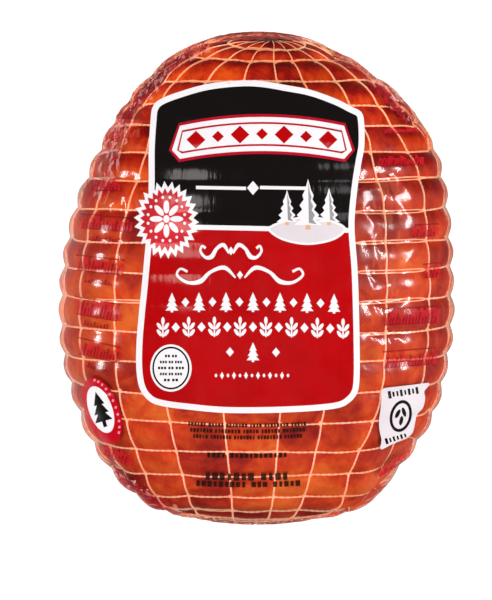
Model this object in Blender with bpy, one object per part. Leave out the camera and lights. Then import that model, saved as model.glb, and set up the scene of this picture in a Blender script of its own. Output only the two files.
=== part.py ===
"""Whole boneless ham, cooked in an elastic net and sealed in a tight clear bag.

The ham lies on its back with its broad face up: +Y is the tapered upper end, +X the right-hand side and
+Z up, in metres. The origin is at the bottom centre. The bag touches the net and the meat all over, so the
whole pack is one closed body: an egg-shaped loaf whose outline, thickness and net grooves come from the
sizes below.
"""

import math

import bmesh
import bpy
import numpy as np

# Outline, seen from above. The widest place, the waist, lies a little towards the blunt foot end.
HALF_WIDTH = 0.1206
HALF_DEPTH = 0.0800
WAIST_Y = -0.0168
TOP_REACH = 0.1668
FOOT_REACH = 0.1332
TOP_POWER = 2.20
FOOT_POWER = 2.35

# The shoulder leans towards +X: a smooth sideways drift of the middle line.
LEAN = 0.0067
LEAN_Y = 0.0840
LEAN_SPREAD = 0.0458

# Lying on its back: height of the middle above the table. It is less than HALF_DEPTH, which leaves a
# flattened patch to rest on.
MID_HEIGHT = 0.0740
# The rings of the net lean over by this angle, lower on the upper face than on the back.
RING_LEAN = math.radians(4.0)

# The net: rings around the ham, and long threads from end to end.
RING_START = 0.0064  # along the surface from the foot end to the first ring
RING_PITCH = 0.0185  # widest spacing of the rings
RING_TAPER = 0.000041  # how fast the spacing shrinks towards both ends
RING_MIDDLE = 8.6
THREADS = 20
RING_GROOVE = 0.0022
THREAD_GROOVE = 0.0009

# Grid of the closed body.
STEPS_PER_RING = 3
STEPS_PER_THREAD = 3
PROFILE_STEPS = 6000


def profile(along):
    """Middle line of the upper face. along runs from -1 at the foot tip to 1 at the top tip. Gives Y and the
    share of the full width and depth there."""
    angle = np.abs(along) * math.pi / 2
    power = np.where(along > 0, TOP_POWER, FOOT_POWER)
    reach = np.where(along > 0, TOP_REACH, FOOT_REACH)
    y = WAIST_Y + np.sign(along) * reach * np.sin(angle) ** (2 / power)
    return y, np.cos(angle) ** (2 / power)


def arc_table():
    """Length along the middle line of the upper face, for each value of along."""
    along = np.linspace(-1.0, 1.0, PROFILE_STEPS + 1)
    y, share = profile(along)
    steps = np.hypot(np.diff(y), np.diff(HALF_DEPTH * share))
    return along, np.concatenate([[0.0], np.cumsum(steps)])


def ring_places(length):
    """Where the rings cross the middle line, as lengths from the foot tip."""
    places = [RING_START]
    while True:
        pitch = RING_PITCH - RING_TAPER * (len(places) - 1 - RING_MIDDLE) ** 2
        if places[-1] + pitch > length - 0.004:
            return places
        places.append(places[-1] + pitch)


def grid_places(rings, length):
    """Every ring, with STEPS_PER_RING equal steps between two rings and two steps at either tip."""
    places = [0.0, rings[0] / 2]
    for low, high in zip(rings, rings[1:]):
        for step in range(STEPS_PER_RING):
            places.append(low + (high - low) * step / STEPS_PER_RING)
    places += [rings[-1], (rings[-1] + length) / 2, length]
    return places


def body_point(along, turn, ring_phase, thread_phase):
    """A point of the bag. turn is the angle around the Y axis, from +Z towards +X. A phase is 0 on a ring or
    a long thread and 0.5 half-way to the next."""
    y, share = (float(v) for v in profile(np.array(along)))
    fade = min(1.0, share / 0.45)
    groove = RING_GROOVE * (0.5 + 0.5 * math.cos(2 * math.pi * ring_phase)) ** 1.3
    groove += THREAD_GROOVE * (0.5 + 0.5 * math.cos(2 * math.pi * thread_phase)) ** 2
    swell = 0.0007 - groove * fade
    lean = LEAN * math.exp(-(((y - LEAN_Y) / LEAN_SPREAD) ** 2))
    x = lean * share**0.25 + (HALF_WIDTH * share + swell * fade) * math.sin(turn)
    z = (HALF_DEPTH * share + swell * fade) * math.cos(turn)
    y -= math.tan(RING_LEAN) * z
    return x, y, max(0.0, MID_HEIGHT + z)


def make_pack(collection):
    along_table, arc = arc_table()
    length = float(arc[-1])
    rings = ring_places(length)
    places = grid_places(rings, length)
    rows = len(places) - 1
    columns = THREADS * STEPS_PER_THREAD

    bm = bmesh.new()
    bmesh.ops.create_uvsphere(bm, u_segments=columns, v_segments=rows, radius=1.0)
    for vert in bm.verts:
        row = rows - round(math.acos(max(-1.0, min(1.0, vert.co.z))) / math.pi * rows)
        column = round(math.atan2(vert.co.y, vert.co.x) / (2 * math.pi) * columns)
        place = places[row]
        along = float(np.interp(place, arc, along_table))
        nearest = min(abs(place - ring) for ring in rings)
        vert.co = body_point(
            along,
            2 * math.pi * column / columns,
            nearest / RING_PITCH,
            (column % STEPS_PER_THREAD) / STEPS_PER_THREAD,
        )
    low = [min(v.co[i] for v in bm.verts) for i in range(3)]
    high = [max(v.co[i] for v in bm.verts) for i in range(3)]
    for vert in bm.verts:
        vert.co.x -= (low[0] + high[0]) / 2
        vert.co.y -= (low[1] + high[1]) / 2
    bmesh.ops.triangulate(bm, faces=bm.faces, quad_method="SHORT_EDGE")

    mesh = bpy.data.meshes.new("bagged_ham")
    bm.to_mesh(mesh)
    bm.free()
    mesh.shade_smooth()
    pack = bpy.data.objects.new("bagged_ham", mesh)
    collection.objects.link(pack)

    material = bpy.data.materials.new("bagged_ham")
    material.use_nodes = True
    shader = material.node_tree.nodes["Principled BSDF"]
    shader.inputs["Base Color"].default_value = (0.52, 0.12, 0.03, 1.0)
    shader.inputs["Roughness"].default_value = 0.25
    shader.inputs["Metallic"].default_value = 0.0
    mesh.materials.append(material)
    return pack


def main():
    for ob in list(bpy.data.objects):
        bpy.data.objects.remove(ob, do_unlink=True)
    collection = bpy.data.collections.new("black_forest_ham")
    bpy.context.scene.collection.children.link(collection)
    make_pack(collection)


main()
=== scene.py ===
"""Looks of a whole boneless ham, cooked in an elastic net and sealed in a tight clear printed bag.

The ham lies on its back, +Z up, +Y towards its tapered upper end, in metres. Three layers follow one
formula for the loaf: the meat, quilted by the net; the net itself, rings and long threads; and the clear film
over them. The print is laid onto the film, and is made of plain fields and generic shapes.
"""

import math

import bpy
import numpy as np
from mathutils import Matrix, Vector
from mathutils.bvhtree import BVHTree
from mathutils.geometry import delaunay_2d_cdt
from mathutils.interpolate import poly_3d_calc


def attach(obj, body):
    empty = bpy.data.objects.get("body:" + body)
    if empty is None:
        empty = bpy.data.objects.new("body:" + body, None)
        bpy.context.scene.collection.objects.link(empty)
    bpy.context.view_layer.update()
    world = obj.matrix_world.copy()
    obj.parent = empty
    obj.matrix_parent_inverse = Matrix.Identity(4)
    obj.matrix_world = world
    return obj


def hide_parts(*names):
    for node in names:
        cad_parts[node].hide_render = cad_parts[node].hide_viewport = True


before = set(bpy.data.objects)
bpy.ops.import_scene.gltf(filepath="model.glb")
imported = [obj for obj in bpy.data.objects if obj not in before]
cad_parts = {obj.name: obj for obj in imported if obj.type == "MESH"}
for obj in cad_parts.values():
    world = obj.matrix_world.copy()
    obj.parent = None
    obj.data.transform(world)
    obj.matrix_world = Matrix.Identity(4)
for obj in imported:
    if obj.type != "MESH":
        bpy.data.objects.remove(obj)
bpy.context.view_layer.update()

# ---------------------------------------------------------------- the loaf, as in the CAD part
HALF_WIDTH = 0.1206
HALF_DEPTH = 0.0800
WAIST_Y = -0.0168
TOP_REACH = 0.1668
FOOT_REACH = 0.1332
TOP_POWER = 2.20
FOOT_POWER = 2.35
LEAN = 0.0067
LEAN_Y = 0.0840
LEAN_SPREAD = 0.0458
MID_HEIGHT = 0.0740
RING_LEAN = math.radians(4.0)
RING_PITCH = 0.0185
# Where the net's rings cross the middle of the upper face, along the surface from the foot tip.
RING_PLACES = 0.001 * np.array(
    [6.4, 21.8, 38.1, 54.6, 71.8, 88.8, 107.9, 126.5, 144.9, 162.7, 181.1, 198.8, 216.5, 235.5, 254.3, 271.7, 289.1,
     302.7, 319.6, 335.6, 347.0]
)  # fmt: skip
PROFILE_STEPS = 6000

# Angles of the long threads around the loaf, from +Z towards +X. The elastic net is stretched unevenly.
THREAD_TURNS = np.radians(
    [-168, -154, -141, -128, -115, -103, -64, -46, -28.5, -10, 7.5, 20.5, 41, 61, 103, 116, 129, 142, 157, 172]
)

# The photograph's frame, used to place the print: pixels, metres per pixel at mid height, camera height.
FRAME_W, FRAME_H = 492, 600
PIXEL = 0.000611
CAMERA_HEIGHT = 2.6
LOOK_X, LOOK_Y = 256.5, 277.5  # the loaf's centre, in pixels


def profile(along):
    angle = np.abs(along) * math.pi / 2
    power = np.where(along > 0, TOP_POWER, FOOT_POWER)
    reach = np.where(along > 0, TOP_REACH, FOOT_REACH)
    y = WAIST_Y + np.sign(along) * reach * np.sin(angle) ** (2 / power)
    return y, np.cos(angle) ** (2 / power)


ALONG = np.linspace(-1.0, 1.0, PROFILE_STEPS + 1)
Y_AT, SHARE_AT = profile(ALONG)
ARC = np.concatenate([[0.0], np.cumsum(np.hypot(np.diff(Y_AT), np.diff(HALF_DEPTH * SHARE_AT)))])
LENGTH = float(ARC[-1])
WAIST = PROFILE_STEPS // 2
WAIST_PLACE = float(ARC[WAIST])


def smooth(low, high, x):
    t = np.clip((x - low) / (high - low), 0.0, 1.0)
    return t * t * (3 - 2 * t)


def share_of(place):
    return np.interp(place, ARC, SHARE_AT)


def place_of(share, top):
    share = np.clip(share, 0.0, 1.0)
    upper = np.interp(share, SHARE_AT[WAIST:][::-1], ARC[WAIST:][::-1])
    lower = np.interp(share, SHARE_AT[: WAIST + 1], ARC[: WAIST + 1])
    return np.where(top, upper, lower)


def loaf(place, turn, centre=(0.0, 0.0)):
    """Points of the plain loaf, for arrays of lengths from the foot tip and of angles around it."""
    y = np.interp(place, ARC, Y_AT)
    share = share_of(place)
    lean = LEAN * np.exp(-(((y - LEAN_Y) / LEAN_SPREAD) ** 2))
    x = lean * share**0.25 + HALF_WIDTH * share * np.sin(turn)
    z = HALF_DEPTH * share * np.cos(turn)
    return np.stack([x - centre[0], y - math.tan(RING_LEAN) * z - centre[1], MID_HEIGHT + z], axis=-1)


def loaf_centre():
    """The middle of the plain loaf's outline, which the CAD part puts at the origin."""
    places, turns = np.meshgrid(np.linspace(0, LENGTH, 400), np.linspace(-math.pi, math.pi, 241), indexing="ij")
    p = loaf(places, turns).reshape(-1, 3)
    return (p[:, :2].min(0) + p[:, :2].max(0)) / 2


CENTRE = loaf_centre()


# ---------------------------------------------------------------- noise
rng = np.random.default_rng(11)
PERM = rng.permutation(256)
GRADS = rng.normal(size=(256, 3))
GRADS /= np.linalg.norm(GRADS, axis=1)[:, None]


def noise(p, size, seed=0):
    """Smooth gradient noise of points p (..., 3), about -1 to 1, with features of the given size."""
    shape = p.shape[:-1]
    q = p.reshape(-1, 3) / size + np.array([13.7, 5.1, 31.9]) * (seed + 1)
    cell = np.floor(q).astype(np.int64)
    f = q - cell
    w = f * f * f * (f * (f * 6 - 15) + 10)
    total = np.zeros(len(q))
    for dx in (0, 1):
        for dy in (0, 1):
            for dz in (0, 1):
                h = PERM[(PERM[(PERM[(cell[:, 0] + dx) & 255] + cell[:, 1] + dy) & 255] + cell[:, 2] + dz) & 255]
                dot = ((f - (dx, dy, dz)) * GRADS[h]).sum(-1)
                wx = w[:, 0] if dx else 1 - w[:, 0]
                wy = w[:, 1] if dy else 1 - w[:, 1]
                wz = w[:, 2] if dz else 1 - w[:, 2]
                total += wx * wy * wz * dot
    return (total * 1.7).reshape(shape)


def turbulence(p, size, octaves, seed=0):
    out, gain, norm = 0.0, 1.0, 0.0
    for o in range(octaves):
        out = out + gain * noise(p, size / 2**o, seed + 7 * o)
        norm += gain
        gain *= 0.5
    return out / norm


def creases(p, size, seed=0, sharp=2.0):
    """Sharp-topped folds, 0 to 1."""
    return np.clip(1 - np.abs(noise(p, size, seed)) * 2.2, 0, 1) ** sharp


# ---------------------------------------------------------------- where the net runs on the loaf
# Where the net runs together at the top and at the foot, as shares of the half width and depth.
KNOTS = {
    "thread": (np.array([0.07, 0.155]), np.array([-0.03, -0.40])),
    "ring": (np.array([0.05, 0.235]), np.array([-0.02, -0.13])),
}
# The long threads wander: angle, how far round, height on the loaf, how far along, and by how many degrees.
WANDERS = [
    (61, 14, 0.098, 0.028, -6.5),
    (41, 9, 0.085, 0.024, -9.5),
    (40, 10, -0.118, 0.026, -4.5),
    (-46, 14, 0.118, 0.020, -2.5),
]


def pull(share, kind, top):
    """How far the net's ends are dragged towards its knots: all the way at the tips, not at all at the waist."""
    if kind == "thread":
        return np.where(top, 1 - smooth(0.20, 0.70, share), 1 - smooth(0.0, 0.95, share))
    return np.where(top, 1 - smooth(0.20, 0.66, share), 1 - smooth(0.05, 0.55, share))


def knot_of(top, kind):
    return np.where(np.asarray(top)[..., None], KNOTS[kind][0], KNOTS[kind][1])


def wander(place, turn):
    """How much further round a long thread runs, in radians, than it would if the net were even."""
    y = np.interp(place, ARC, Y_AT) - 0.0035
    total = np.zeros(np.broadcast(place, turn).shape)
    for angle, wide, height, tall, by in WANDERS:
        total += math.radians(by) * np.exp(
            -(((np.degrees(turn) - angle) / wide) ** 2) - ((y - height) / tall) ** 2
        )
    return total


def to_net(place, turn, kind):
    """The net's own place and angle of points of the loaf."""
    top = place > WAIST_PLACE
    share = share_of(place)
    if kind == "thread":
        turn = turn - wander(place, turn)
    q = np.stack([share * np.sin(turn), share * np.cos(turn)], axis=-1)
    w = pull(share, kind, top)
    q = q - knot_of(top, kind) * w[..., None]
    net_place = np.where(w > 0, place_of(np.linalg.norm(q, axis=-1), top), place)
    return net_place, np.arctan2(q[..., 0], q[..., 1])


def from_net(place, turn, kind):
    """Points of the loaf, as place and angle, for the net's own place and angle."""
    top = place > WAIST_PLACE
    share = share_of(place)
    q0 = np.stack([share * np.sin(turn), share * np.cos(turn)], axis=-1)
    q = q0
    for _ in range(30):
        q = 0.5 * q + 0.5 * (q0 + knot_of(top, kind) * pull(np.linalg.norm(q, axis=-1), kind, top)[..., None])
    size = np.linalg.norm(q, axis=-1)
    moved = pull(size, kind, top) > 0
    place, turn = np.where(moved, place_of(size, top), place), np.where(moved, np.arctan2(q[..., 0], q[..., 1]), turn)
    if kind == "thread":
        turn = turn + wander(place, turn + wander(place, turn))
    return place, turn


RINGS = np.sort(to_net(RING_PLACES, np.zeros(len(RING_PLACES)), "ring")[0])


def net_phases(place, turn):
    """Ring and thread numbers as real numbers: whole on a line of the net."""
    net_place, _ = to_net(place, turn, "ring")
    step0, step1 = RINGS[1] - RINGS[0], RINGS[-1] - RINGS[-2]
    marks = np.concatenate([[RINGS[0] - 2 * step0, RINGS[0] - step0], RINGS, [RINGS[-1] + step1, RINGS[-1] + 2 * step1]])
    rho = np.interp(net_place, marks, np.arange(-2, len(RINGS) + 2))
    _, net_turn = to_net(place, turn, "thread")
    marks = np.concatenate([[THREAD_TURNS[-1] - 2 * math.pi], THREAD_TURNS, [THREAD_TURNS[0] + 2 * math.pi]])
    tau = np.interp(net_turn, marks, np.arange(-1, len(THREAD_TURNS) + 1))
    return rho, tau


# ---------------------------------------------------------------- grids around the loaf
def turn_steps(front, back):
    """Angles around the loaf, closer together on the upper side."""
    wide = math.radians(104)
    a = np.linspace(-wide, wide, front, endpoint=False)
    b = np.linspace(wide, 2 * math.pi - wide, back, endpoint=False)
    return np.concatenate([a, b])


class Grid:
    """A grid of points around the loaf with a point at either tip."""

    def __init__(self, rows, front, back):
        ends = 0.0011
        self.place1 = np.linspace(ends, LENGTH - ends, rows)
        self.turn1 = turn_steps(front, back)
        self.place, self.turn = np.meshgrid(self.place1, self.turn1, indexing="ij")
        self.base = loaf(self.place, self.turn, CENTRE)
        du = np.roll(self.base, -1, 1) - np.roll(self.base, 1, 1)
        ds = np.gradient(self.base, axis=0)
        n = np.cross(du, ds)
        self.normal = n / np.linalg.norm(n, axis=-1)[..., None]
        self.share = share_of(self.place)
        self.rho, self.tau = net_phases(self.place, self.turn)
        self.ring = np.abs(np.sin(math.pi * self.rho))  # 0 on a ring, 1 half-way
        self.thread = np.abs(np.sin(math.pi * self.tau))
        # pixel coordinates of the upper side, to place what the photograph shows
        self.px = LOOK_X + self.base[..., 0] / PIXEL
        self.py = LOOK_Y - self.base[..., 1] / PIXEL
        self.up = smooth(-0.25, 0.15, self.normal[..., 2])
        self.flank = smooth(-0.85, -0.35, self.normal[..., 2])

    def spot(self, x, y, rx, ry, angle=0.0, power=2.0, flank=False):
        """1 at a pixel place of the upper side, fading to 0 over an ellipse; flank lets it run on below."""
        c, s = math.cos(math.radians(angle)), math.sin(math.radians(angle))
        u = ((self.px - x) * c + (self.py - y) * s) / rx
        v = (-(self.px - x) * s + (self.py - y) * c) / ry
        return np.exp(-((u * u + v * v) ** (power / 2))) * (self.flank if flank else self.up)

    def points(self, height, floor):
        p = self.base + self.normal * height[..., None]
        z = p[..., 2]
        soft = 0.0016
        p[..., 2] = floor + 0.5 * ((z - floor) + np.sqrt((z - floor) ** 2 + soft**2)) - soft * 0.02
        return p

    def mesh(self, name, height, floor):
        """A closed mesh of the grid's points, moved out by height and flattened at the floor."""
        p = self.points(height, floor)
        rows, cols = self.place.shape
        verts = p.reshape(-1, 3)
        foot = p[0].mean(0)
        top = p[-1].mean(0)
        verts = np.concatenate([verts, [foot, top]])
        r, c = np.meshgrid(np.arange(rows - 1), np.arange(cols), indexing="ij")
        c2 = (c + 1) % cols
        quads = np.stack([r * cols + c, r * cols + c2, (r + 1) * cols + c2, (r + 1) * cols + c], axis=-1).reshape(-1, 4)
        k = np.arange(cols)
        k2 = (k + 1) % cols
        low = np.stack([np.full(cols, rows * cols), k2, k], axis=-1)
        high = np.stack([np.full(cols, rows * cols + 1), (rows - 1) * cols + k, (rows - 1) * cols + k2], axis=-1)
        ob = mesh_object(name, verts, quads, np.concatenate([low, high]))
        return ob, p


def mesh_object(name, verts, quads=None, tris=None, smooth_shading=True):
    mesh = bpy.data.meshes.new(name)
    quads = np.zeros((0, 4), int) if quads is None else quads
    tris = np.zeros((0, 3), int) if tris is None else tris
    loops = np.concatenate([quads.reshape(-1), tris.reshape(-1)]).astype(np.int32)
    starts = np.concatenate([np.arange(len(quads)) * 4, len(quads) * 4 + np.arange(len(tris)) * 3]).astype(np.int32)
    mesh.vertices.add(len(verts))
    mesh.vertices.foreach_set("co", np.asarray(verts, dtype=np.float32).reshape(-1))
    mesh.loops.add(len(loops))
    mesh.loops.foreach_set("vertex_index", loops)
    mesh.polygons.add(len(starts))
    mesh.polygons.foreach_set("loop_start", starts)
    mesh.update(calc_edges=True)
    mesh.validate()
    if smooth_shading:
        mesh.shade_smooth()
    ob = bpy.data.objects.new(name, mesh)
    bpy.context.scene.collection.objects.link(ob)
    return ob


# ---------------------------------------------------------------- heights of the layers
def cell_size(share):
    """Grooves are shallower where the net's cells grow small, at the tips."""
    return smooth(0.05, 0.55, share)


def hull_dents(g):
    """Where the bag lies further in than the loaf's plain outline."""
    return (
        0.0042 * g.spot(412, 458, 34, 42, 30, 2.6)
        + 0.0018 * g.spot(448, 385, 16, 40, 0, 2.2)
        + 0.0044 * g.spot(140, 68, 50, 27, -44, 2.2)
        + 0.0022 * g.spot(362, 52, 40, 14, 28, 2.2)
        + 0.0022 * g.spot(72, 402, 20, 34, -12, 2.2)
        + 0.0012 * g.spot(66, 240, 16, 34, 6, 2.2)
        - 0.0036 * g.spot(150, 498, 40, 20, 36, 2.2)
        - 0.0038 * g.spot(360, 498, 40, 20, -30, 2.2)
    )


def loose_film(g):
    """How much the film is crackled, 0 to 1."""
    return np.clip(
        1.0 * g.spot(137, 84, 54, 10, -46, 2.8)
        + 0.6 * g.spot(345, 58, 34, 10, 30, 2.4)
        + 0.5 * g.spot(402, 106, 26, 9, 44, 2.4)
        + 0.6 * g.spot(235, 36, 56, 6, 0, 2.4)
        + 0.3 * g.spot(104, 160, 16, 40, 12, 2.4)
        + 0.015,
        0,
        1,
    )


def film_web(g):
    """Where the film bridges the net's grooves, 0 to 1."""
    web = (
        0.95 * g.spot(392, 476, 62, 22, 135, 2.6)
        + 0.8 * g.spot(414, 112, 58, 17, 46, 2.6)
        + 0.95 * g.spot(136, 86, 56, 13, -46, 3.0)
        + 0.7 * g.spot(106, 480, 46, 12, 42, 2.6)
        + 0.6 * g.spot(126, 152, 17, 34, 12, 2.6)
        + 0.90 * g.spot(380, 130, 46, 40, 0, 3.0)
        + 0.7 * g.spot(143, 172, 11, 10, 0, 2.6)
    )
    return np.clip(web, 0, 1)


# Ridges of loose film: from and to, in pixels, half width in pixels, height in millimetres. Along a ridge the film
# spans the grooves of the net, so that light runs along it.
FOLDS = [
    (395, 180, 409, 200, 5.0, 0.26),
    (390, 203, 415, 221, 6.0, 0.30),
    (358, 194, 374, 190, 4.0, 0.16),
    (361, 212, 370, 227, 4.6, 0.20),
    (369, 239, 375, 262, 5.0, 0.22),
    (400, 265, 413, 250, 5.0, 0.22),
    (363, 273, 369, 291, 4.4, 0.18),
    (369, 292, 383, 287, 4.0, 0.18),
    (389, 311, 407, 301, 7.0, 0.20),
    (371, 306, 377, 318, 4.4, 0.16),
    (368, 338, 375, 345, 4.4, 0.16),
    (393, 338, 402, 345, 4.4, 0.16),
    (104, 198, 112, 207, 4.2, 0.22),
    (112, 207, 119, 203, 3.8, 0.20),
    (126, 189, 129, 209, 4.6, 0.22),
]


def folds(g):
    """Height of the loose film's own ridges, and how far each point belongs to one."""
    total, member = np.zeros_like(g.px), np.zeros_like(g.px)
    bend_x = 1.6 * noise(g.base, 0.017, 51)
    bend_y = 1.6 * noise(g.base, 0.017, 52)
    x, y = g.px + bend_x, g.py + bend_y
    for x0, y0, x1, y1, wide, tall in FOLDS:
        long = math.hypot(x1 - x0, y1 - y0)
        ux, uy = (x1 - x0) / long, (y1 - y0) / long
        along = np.clip((x - x0) * ux + (y - y0) * uy, 0, long)
        away = np.hypot(x - x0 - along * ux, y - y0 - along * uy)
        near = np.exp(-((away / wide) ** 2))
        total = np.maximum(total, 0.001 * tall * near)
        member = np.maximum(member, near)
    return total * g.up, member * g.up


def side_of(g):
    return np.exp(-(((np.abs(np.degrees(g.turn)) - 86) / 16) ** 2)) * smooth(0.15, 0.4, g.share)


def meat_height(g):
    ring_cut = 0.0017 * cell_size(g.share) * (1 + 0.6 * side_of(g))
    thread_cut = 0.0009 * cell_size(g.share)
    h = -0.0015 - ring_cut * (1 - g.ring**0.7) - thread_cut * (1 - g.thread**0.7)
    h -= hull_dents(g) + 0.0010 * side_of(g) + 0.0012 * loose_film(g) + 0.0008 * film_web(g)
    h -= 0.0006 * (1 - smooth(0.25, 0.6, g.share))
    h += 0.0006 * noise(g.base, 0.046, 3) * smooth(0.1, 0.5, g.share)
    h += 0.00030 * turbulence(g.base, 0.011, 3, 5)
    h -= 0.00045 * creases(g.base, 0.019, 9, 5.0) * g.ring
    return h


def film_height(g, meat):
    web, side, crackle = film_web(g), side_of(g), loose_film(g)
    scale = cell_size(g.share)
    printed = smooth(132, 150, g.px) * smooth(376, 356, g.px) * smooth(80, 92, g.py) * smooth(420, 405, g.py) * g.up
    # each cell of the net is a small pillow
    cut = 0.0019 * scale * (1 - g.ring) * (1 + 0.5 * side) + 0.0007 * scale * (1 - g.thread)
    ridge, on_ridge = folds(g)
    h = 0.0004 - cut * (1 - 0.8 * web) * (1 - 0.6 * printed) * (1 - 0.7 * on_ridge) - hull_dents(g)
    h += 0.0003 * side
    # long soft wrinkles, along the loaf at its sides
    stretched = g.base * np.array([1.0, 0.16, 1.0])
    h -= 0.0004 * (1 - creases(stretched, 0.0062, 21, 1.6)) * side * smooth(0.25, 0.8, g.ring)
    # loose film on the right: bold folds running down to the right, and crackle at the shoulders
    warp = g.base + 0.004 * np.stack([noise(g.base, 0.02, 31), noise(g.base, 0.02, 32), noise(g.base, 0.02, 33)], -1)
    slack = 0.10 * g.spot(390, 225, 34, 62, 0, 2.6) + 0.05 * g.spot(392, 318, 30, 50, 0, 2.4)
    c, t = math.cos(math.radians(52)), math.sin(math.radians(52))
    along = warp[..., 0] * c - warp[..., 1] * t
    across = warp[..., 0] * t + warp[..., 1] * c
    folded = np.stack([along * 0.42, across, warp[..., 2] * 0.6], -1)
    h += 0.0011 * slack * creases(folded, 0.0115, 27, 1.7) * smooth(0.10, 0.55, g.ring) + ridge
    h -= 0.0009 * crackle * (1 - creases(warp, 0.0070, 25, 1.8))
    h -= 0.0006 * crackle * (1 - creases(warp, 0.0040, 26, 1.6))
    # pleats gathered to the tips
    tip = 1 - smooth(0.10, 0.42, g.share)
    pleat = np.abs(np.sin(g.turn * 11 + 1.3 * np.sin(g.turn * 3) + 0.8))
    h -= 0.0010 * tip * smooth(0.015, 0.08, g.share) * (1 - pleat)
    # the film clears the net's threads
    to_thread = np.abs(g.tau - np.round(g.tau)) * g.share * HALF_WIDTH * 0.31
    to_ring = np.abs(g.rho - np.round(g.rho)) * RING_PITCH
    over_thread = np.exp(-((to_thread / (0.0036 + 0.0030 * web)) ** 2))
    over_ring = np.exp(-((to_ring / (0.0026 + 0.0014 * (1 - smooth(0.35, 0.75, g.share)))) ** 2))
    tent = 0.00125 * np.maximum(over_thread, over_ring) + 0.00025 * np.minimum(over_thread, over_ring)
    tent *= 1 - 0.5 * g.spot(138, 84, 56, 11, -46, 3.0)
    return np.maximum(h, meat + 0.00035 + tent)


meat_grid = Grid(306, 232, 82)
meat_h = meat_height(meat_grid)
meat, meat_points = meat_grid.mesh("ham_meat", meat_h, 0.0011)

film_grid = Grid(262, 290, 78)
film_h = film_height(film_grid, meat_height(film_grid))
film, film_points = film_grid.mesh("bag_film", film_h, 0.0001)


def vector_attribute(ob, name, values):
    data = ob.data.attributes.new(name, "FLOAT_VECTOR", "POINT")
    data.data.foreach_set("vector", np.asarray(values, dtype=np.float32).reshape(-1))


def cell_values(g):
    """For each point: place in its cell from ring to ring and from thread to thread, and a number of the cell's own."""
    cell_r, cell_t = np.floor(g.rho), np.floor(g.tau) % len(THREAD_TURNS)
    own = np.mod(np.sin(cell_r * 12.9898 + cell_t * 78.233) * 43758.5453, 1.0)
    values = np.stack([g.rho - cell_r, g.ring, own], axis=-1).reshape(-1, 3)
    return np.concatenate([values, [[0.5, 0.5, 0.5], [0.5, 0.5, 0.5]]])


vector_attribute(meat, "cell", cell_values(meat_grid))


def calm_values(g):
    """For each point of the film, how much duller it is than elsewhere: where it is gathered and turns steeply."""
    calm = (
        0.85 * g.spot(147, 95, 44, 11, -46, 3.0)
        + 0.7 * g.spot(222, 44, 40, 7, -10, 2.6)
        + 0.7 * g.spot(318, 45, 30, 8, 20, 2.6)
        + 0.5 * g.spot(372, 106, 28, 34, 0, 2.6)
    )
    calm = np.clip(calm, 0, 0.9).reshape(-1)
    return np.concatenate([np.stack([calm] * 3, axis=-1), np.zeros((2, 3))])


vector_attribute(film, "calm", calm_values(film_grid))


def tint_values(g):
    """For each point: how dark and plum red, how pale from painted sheen of the film where it is loose or stands off
    the meat, and how warm and light the meat is.
    """
    dark = (
        0.70 * g.spot(133, 81, 60, 13, -46, 3.0, True)
        + 0.75 * g.spot(352, 57, 36, 8, 32, 2.4, True)
        + 0.65 * g.spot(404, 102, 34, 12, 44, 2.4, True)
        + 0.5 * g.spot(235, 37, 60, 6, 0, 2.4)
        + 0.8 * g.spot(372, 500, 20, 9, -35, 2.4)
        + 0.8 * g.spot(134, 492, 36, 10, 38, 2.4, True)
        + 0.6 * g.spot(205, 513, 60, 9, 8, 2.4)
        + 0.4 * g.spot(380, 232, 26, 34, 0, 2.4)
        + 0.40 * g.spot(424, 198, 16, 12, 10, 2.4)
        + 0.16 * g.spot(390, 138, 34, 28, 0, 2.4)
        + 0.22 * g.spot(240, 56, 44, 10, -6, 2.4)
        + 0.45 * g.spot(262, 34, 90, 9, 0, 2.4, True)
        + 0.35 * g.spot(368, 362, 9, 18, 0, 2.4)
        + 0.40 * g.spot(258, 514, 46, 9, 0, 2.4)
        + 0.35 * g.spot(262, 522, 90, 7, 0, 2.4, True)
    )
    # painted sheen of the film, as paler meat
    pale = (
        0.95 * g.spot(396, 480, 66, 22, 136, 2.8)
        + 0.5 * g.spot(92, 452, 40, 9, 58, 2.4)
        + 0.25 * g.spot(395, 250, 50, 90, 0, 2.4)
        + 0.25 * g.spot(88, 300, 36, 110, 0, 2.4)
        + 0.12 * g.spot(106, 160, 16, 30, 14, 2.4)
    )
    warm = 0.40 * g.spot(262, 470, 90, 44, 0, 2.4) + 0.30 * g.spot(360, 480, 40, 26, 0, 2.4) + 0.4 * g.spot(100, 272, 34, 62, 0, 2.4) + 0.4 * g.spot(106, 158, 18, 34, 14, 2.4)
    values = np.clip(np.stack([dark, pale, warm], axis=-1), 0, 1).reshape(-1, 3)
    return np.concatenate([values, [[0.0, 0.0, 0.0], [0.0, 0.0, 0.0]]])


vector_attribute(meat, "tint", tint_values(meat_grid))

# ---------------------------------------------------------------- the net
meat_tree = BVHTree.FromObject(meat, bpy.context.evaluated_depsgraph_get())


def loaf_normals(place, turn):
    e = 0.0004
    du = loaf(place, turn + 0.004) - loaf(place, turn - 0.004)
    ds = loaf(np.minimum(place + e, LENGTH), turn) - loaf(np.maximum(place - e, 0), turn)
    n = np.cross(du, ds)
    return n / np.maximum(np.linalg.norm(n, axis=-1), 1e-12)[..., None]


# Where the net is hardly seen through crackled or cloudy film: place in pixels, radii, angle.
VEILED = [
    (138, 84, 56, 11, -46),
    (394, 480, 66, 20, 136),
    (132, 488, 34, 9, 38),
    (395, 98, 32, 10, 44),
    (186, 48, 26, 7, -22),
    (262, 33.5, 66, 6.2, 0),
    (108, 156, 15, 44, 14),
]


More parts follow.
